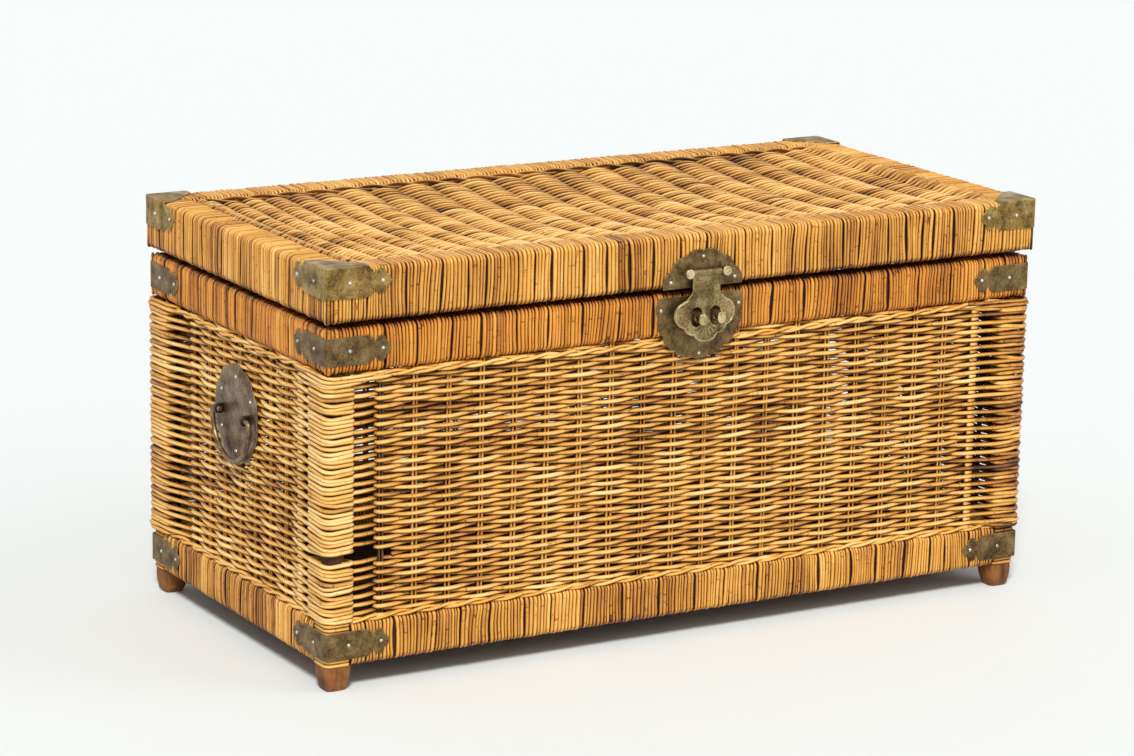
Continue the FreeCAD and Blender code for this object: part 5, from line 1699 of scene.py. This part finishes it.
@dataclass
class Foot:
    """A turned-under wooden foot with worn, rounded edges and inner sides that slant."""

    corner: str
    # Heights, and the share of its greatest width that the foot has there
    outline: tuple[Span, ...] = (
        (0.0, 0.60), (0.8 * MM, 0.70), (2.6 * MM, 0.79), (7.0 * MM, 0.88), (14.0 * MM, 0.97),
        (21.0 * MM, 1.0), (27.6 * MM, 0.985),
    )
    # How much wider it is towards the trunk's middle, at its sole and at its top
    inner_sole: float = 0.8 * MM
    inner_top: float = 3.6 * MM
    overlap: float = 0.1 * MM
    around: int = 24
    squareness: float = 4.5
    sharp_angle: float = math.radians(50)

    def build(self) -> None:
        """Make the worn foot, which stands for the solid."""
        low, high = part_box(f"foot_{self.corner}")
        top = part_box("lower_wrap_front")[0].z
        x, y = (low.x + high.x) / 2, (low.y + high.y) / 2
        heights, shares = np.array(self.outline).T[:, :, None]
        angle = 2 * math.pi * (np.arange(self.around) + 0.5) / self.around
        cosine, sine = np.cos(angle), np.sin(angle)
        power = self.squareness
        square = (np.abs(cosine) ** power + np.abs(sine) ** power) ** (-1 / power)
        z = np.minimum(heights, top + self.overlap)
        half = (high.x - low.x) / 2 * shares
        extra = self.inner_sole + (self.inner_top - self.inner_sole) * z / top
        wide, deep = half + extra * (cosine * x < 0), half + extra * (sine * y < 0)
        rings = points(x + wide * square * cosine, y + deep * square * sine, z)
        index = np.arange(rings[..., 0].size).reshape(rings.shape[:2])
        after = np.roll(index, -1, axis=1)
        quads = np.stack((index[:-1], after[:-1], after[1:], index[1:]), axis=-1).reshape(-1, 4)
        faces = quads.tolist() + [index[0, ::-1].tolist(), index[-1].tolist()]
        name = f"foot_{self.corner}_worn"
        mesh = make_mesh(name, rings.reshape(-1, 3), faces, FOOT_TIMBER.material())
        mesh.set_sharp_from_angle(angle=self.sharp_angle)
        add_piece(name, mesh, Body.BASE, Slot.FOOT, f"foot_{self.corner}")


def dress_solid(node: str, finish: Finish) -> None:
    """Give a solid that stays in view its material.

    Args:
        node: the solid's node.
        finish: its finish.
    """
    solid = bpy.data.objects[node]
    if not solid.material_slots:
        solid.data.materials.append(finish.material())
    for slot in solid.material_slots:
        slot.material = finish.material()


def build_fittings() -> None:
    """Make all metal fittings and dress the small solids that stay."""
    for corner in CORNER_NAMES:
        for level in ("lower", "upper"):
            Fitting(f"{level}_bracket_{corner}", Body.BASE, Slot.BRACKET, OLIVE_BRASS).build()
        Fitting(f"lid_cap_{corner}", Body.LID, Slot.CAP, GOLDEN_BRASS).build()
        dress_solid(f"corner_post_{corner}", BATTEN_TIMBER)
    Fitting("hasp_plate_upper", Body.LID, Slot.PLATE, OLIVE_BRASS).build()
    Fitting("hasp_plate_lower", Body.BASE, Slot.PLATE, OLIVE_BRASS).build()
    Fitting("hasp_knuckle_posts", Body.LID, Slot.PLATE, FLAP_BRASS, highlight_finish=PEG_HIGHLIGHT_BRASS).build()
    Fitting("hasp_eye_posts", Body.BASE, Slot.PLATE, OLIVE_BRASS, 0.9 * MM, PEG_HIGHLIGHT_BRASS).build()
    Fitting("hasp_flap", Body.FLAP, Slot.FLAP, FLAP_BRASS, 0.5 * MM).build()
    FlapRelief().build()
    for side, body in (("left", Body.BAIL_LEFT), ("right", Body.BAIL_RIGHT)):
        Fitting(f"handle_plate_{side}", Body.BASE, Slot.HANDLE, BRONZE).build()
        Fitting(f"handle_eyes_{side}", Body.BASE, Slot.HANDLE, BLACK_BRONZE, 0.4 * MM).build()
        Fitting(f"bail_{side}", body, Slot.HANDLE, BRONZE, 0.4 * MM).build()
    for body in (Body.BASE, Body.LID):
        Fitting(f"hinge_leaves_{body.value}", body, Slot.PLATE, OLIVE_BRASS, 0.25 * MM).build()
        dress_solid(f"nails_{body.value}", NAIL_STEEL)
    for node in ("hinge_pins", "hasp_pin"):
        dress_solid(node, FLAP_BRASS)
    for level in ("lower", "upper", "lid"):
        dress_solid(f"{level}_rail_core", BATTEN_TIMBER)


# Studio


@dataclass(frozen=True)
class Lamp:
    """A soft sun lamp: where it stands, seen from the trunk, its strength and its angle in degrees."""

    name: str
    aim: Place
    power: float
    softness: float

    def hang(self) -> None:
        """Hang the lamp, turned to the trunk."""
        data = bpy.data.lights.new(self.name, "SUN")
        data.energy = self.power
        data.angle = math.radians(self.softness)
        lamp = bpy.data.objects.new(self.name, data)
        lamp.location = Vector(self.aim) * 4
        lamp.rotation_mode = "QUATERNION"
        lamp.rotation_quaternion = (-Vector(self.aim)).to_track_quat("-Z", "Y")
        bpy.context.scene.collection.objects.link(lamp)


@dataclass(frozen=True)
class Studio:
    """Camera at the photo's angle, pale floor and soft lamps."""

    azimuth: float = math.radians(-30.455)
    elevation: float = math.radians(13.591)
    roll: float = math.radians(1.061)
    lens: float = 123.27
    camera_place: Place = (-2.2332, -3.7361, 1.3044)
    floor_half: float = 30.0
    floor_color: Color = (0.845, 0.875, 0.86)
    lamps: tuple[Lamp, ...] = (
        Lamp("key", (-0.50, -0.80, 1.05), 2.75, 12.0),
        Lamp("fill", (0.75, -0.60, 0.55), 0.45, 40.0),
    )
    # Strength of the light from all round
    ambient: float = 0.38

    def build(self) -> None:
        """Set up camera, floor, lamps and world."""
        self.set_camera()
        self.lay_floor()
        for lamp in self.lamps:
            lamp.hang()
        self.paint_world()
        bpy.context.scene.view_settings.view_transform = "Standard"

    def set_camera(self) -> None:
        """Put the camera where the photo was taken from."""
        data = bpy.data.cameras.new("camera")
        data.lens = self.lens
        data.sensor_width = 36.0
        data.clip_start = 0.05
        data.clip_end = 60.0
        camera = bpy.data.objects.new("camera", data)
        bpy.context.scene.collection.objects.link(camera)
        out = math.cos(self.elevation)
        height = math.sin(self.elevation)
        back = Vector((math.sin(self.azimuth) * out, -math.cos(self.azimuth) * out, height))
        level = (-back).cross(Vector(UPRIGHT)).normalized()
        upright = level.cross(-back)
        right = math.cos(self.roll) * level + math.sin(self.roll) * upright
        up = -math.sin(self.roll) * level + math.cos(self.roll) * upright
        turn = Matrix((right, up, back)).transposed().to_4x4()
        camera.matrix_world = Matrix.Translation(self.camera_place) @ turn
        bpy.context.scene.camera = camera

    def lay_floor(self) -> None:
        """Lay the pale floor."""
        material, nodes, shader = new_material("floor_pale")
        nodes.fill(shader, Base_Color=(*self.floor_color, 1.0), Roughness=0.7, Specular_IOR_Level=0.2)
        size = self.floor_half
        corners = np.array(((-size, -size, 0), (size, -size, 0), (size, size, 0), (-size, size, 0)))
        floor = bpy.data.objects.new("floor", make_mesh("floor", corners, [(0, 1, 2, 3)], material))
        bpy.context.scene.collection.objects.link(floor)

    def paint_world(self) -> None:
        """Light softly from all round, and show white behind the trunk."""
        world = bpy.data.worlds.new("studio")
        bpy.context.scene.world = world
        world.use_nodes = True
        nodes = Nodes(world.node_tree)
        rays = world.node_tree.nodes.new("ShaderNodeLightPath").outputs
        shown = nodes.compute("MAXIMUM", rays["Is Camera Ray"], rays["Is Glossy Ray"])
        shown = nodes.compute("MAXIMUM", shown, rays["Is Transmission Ray"])
        strength = nodes.compute("MULTIPLY_ADD", shown, 1 - self.ambient, self.ambient)
        nodes.fill(world.node_tree.nodes["Background"], Strength=strength, Color=(1.0, 1.0, 1.0, 1.0))


def main() -> None:
    """Build the scene piece by piece."""
    logging.basicConfig(level=logging.INFO, format="%(message)s")
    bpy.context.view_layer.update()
    lower, upper, lid = (Level.read(name) for name in ("lower", "upper", "lid"))
    Studio().build()
    # The lower rails' undersides and the left rail are painted darker as shade
    WoundRails(
        lower, Body.BASE, Slot.RAIL_WRAP, HONEY_CANE, tone=0.52, seed=3, bare_end=31 * MM,
        group_gap=1.2 * MM, left_shade_tone=-0.03,
    ).build()
    # The upper rail's top is painted dark as the shadow under the lid
    WoundRails(
        upper, Body.BASE, Slot.RAIL_WRAP, AMBER_CANE, tone=0.54, seed=5, group_gap=1.1 * MM,
        turn_shade=(0.15, 0.35),
    ).build()
    # The lid's underside is painted dark as shade in the gap, its top turn paler as a painted highlight,
    # and its left rail darker as shade
    WoundRails(
        lid, Body.LID, Slot.LID_WRAP, HONEY_CANE, tone=0.55, seed=7, group=33 * MM, group_gap=0.9 * MM,
        unevenness=3.0, left_shade_tone=-0.03, turn_shade=(0.5, -0.12),
    ).build()
    rows = Rows(lower, lower.high, upper.low)
    for index in range(4):
        WovenSide(rows, index).build()
    random = np.random.default_rng(CORNER_SEED)
    for index in range(4):
        WoundCorner(rows, index, random).build()
    WovenLid(lid).build()
    WovenBottom().build()
    build_fittings()
    for corner in CORNER_NAMES:
        Foot(corner).build()


if __name__ == "__main__":
    main()
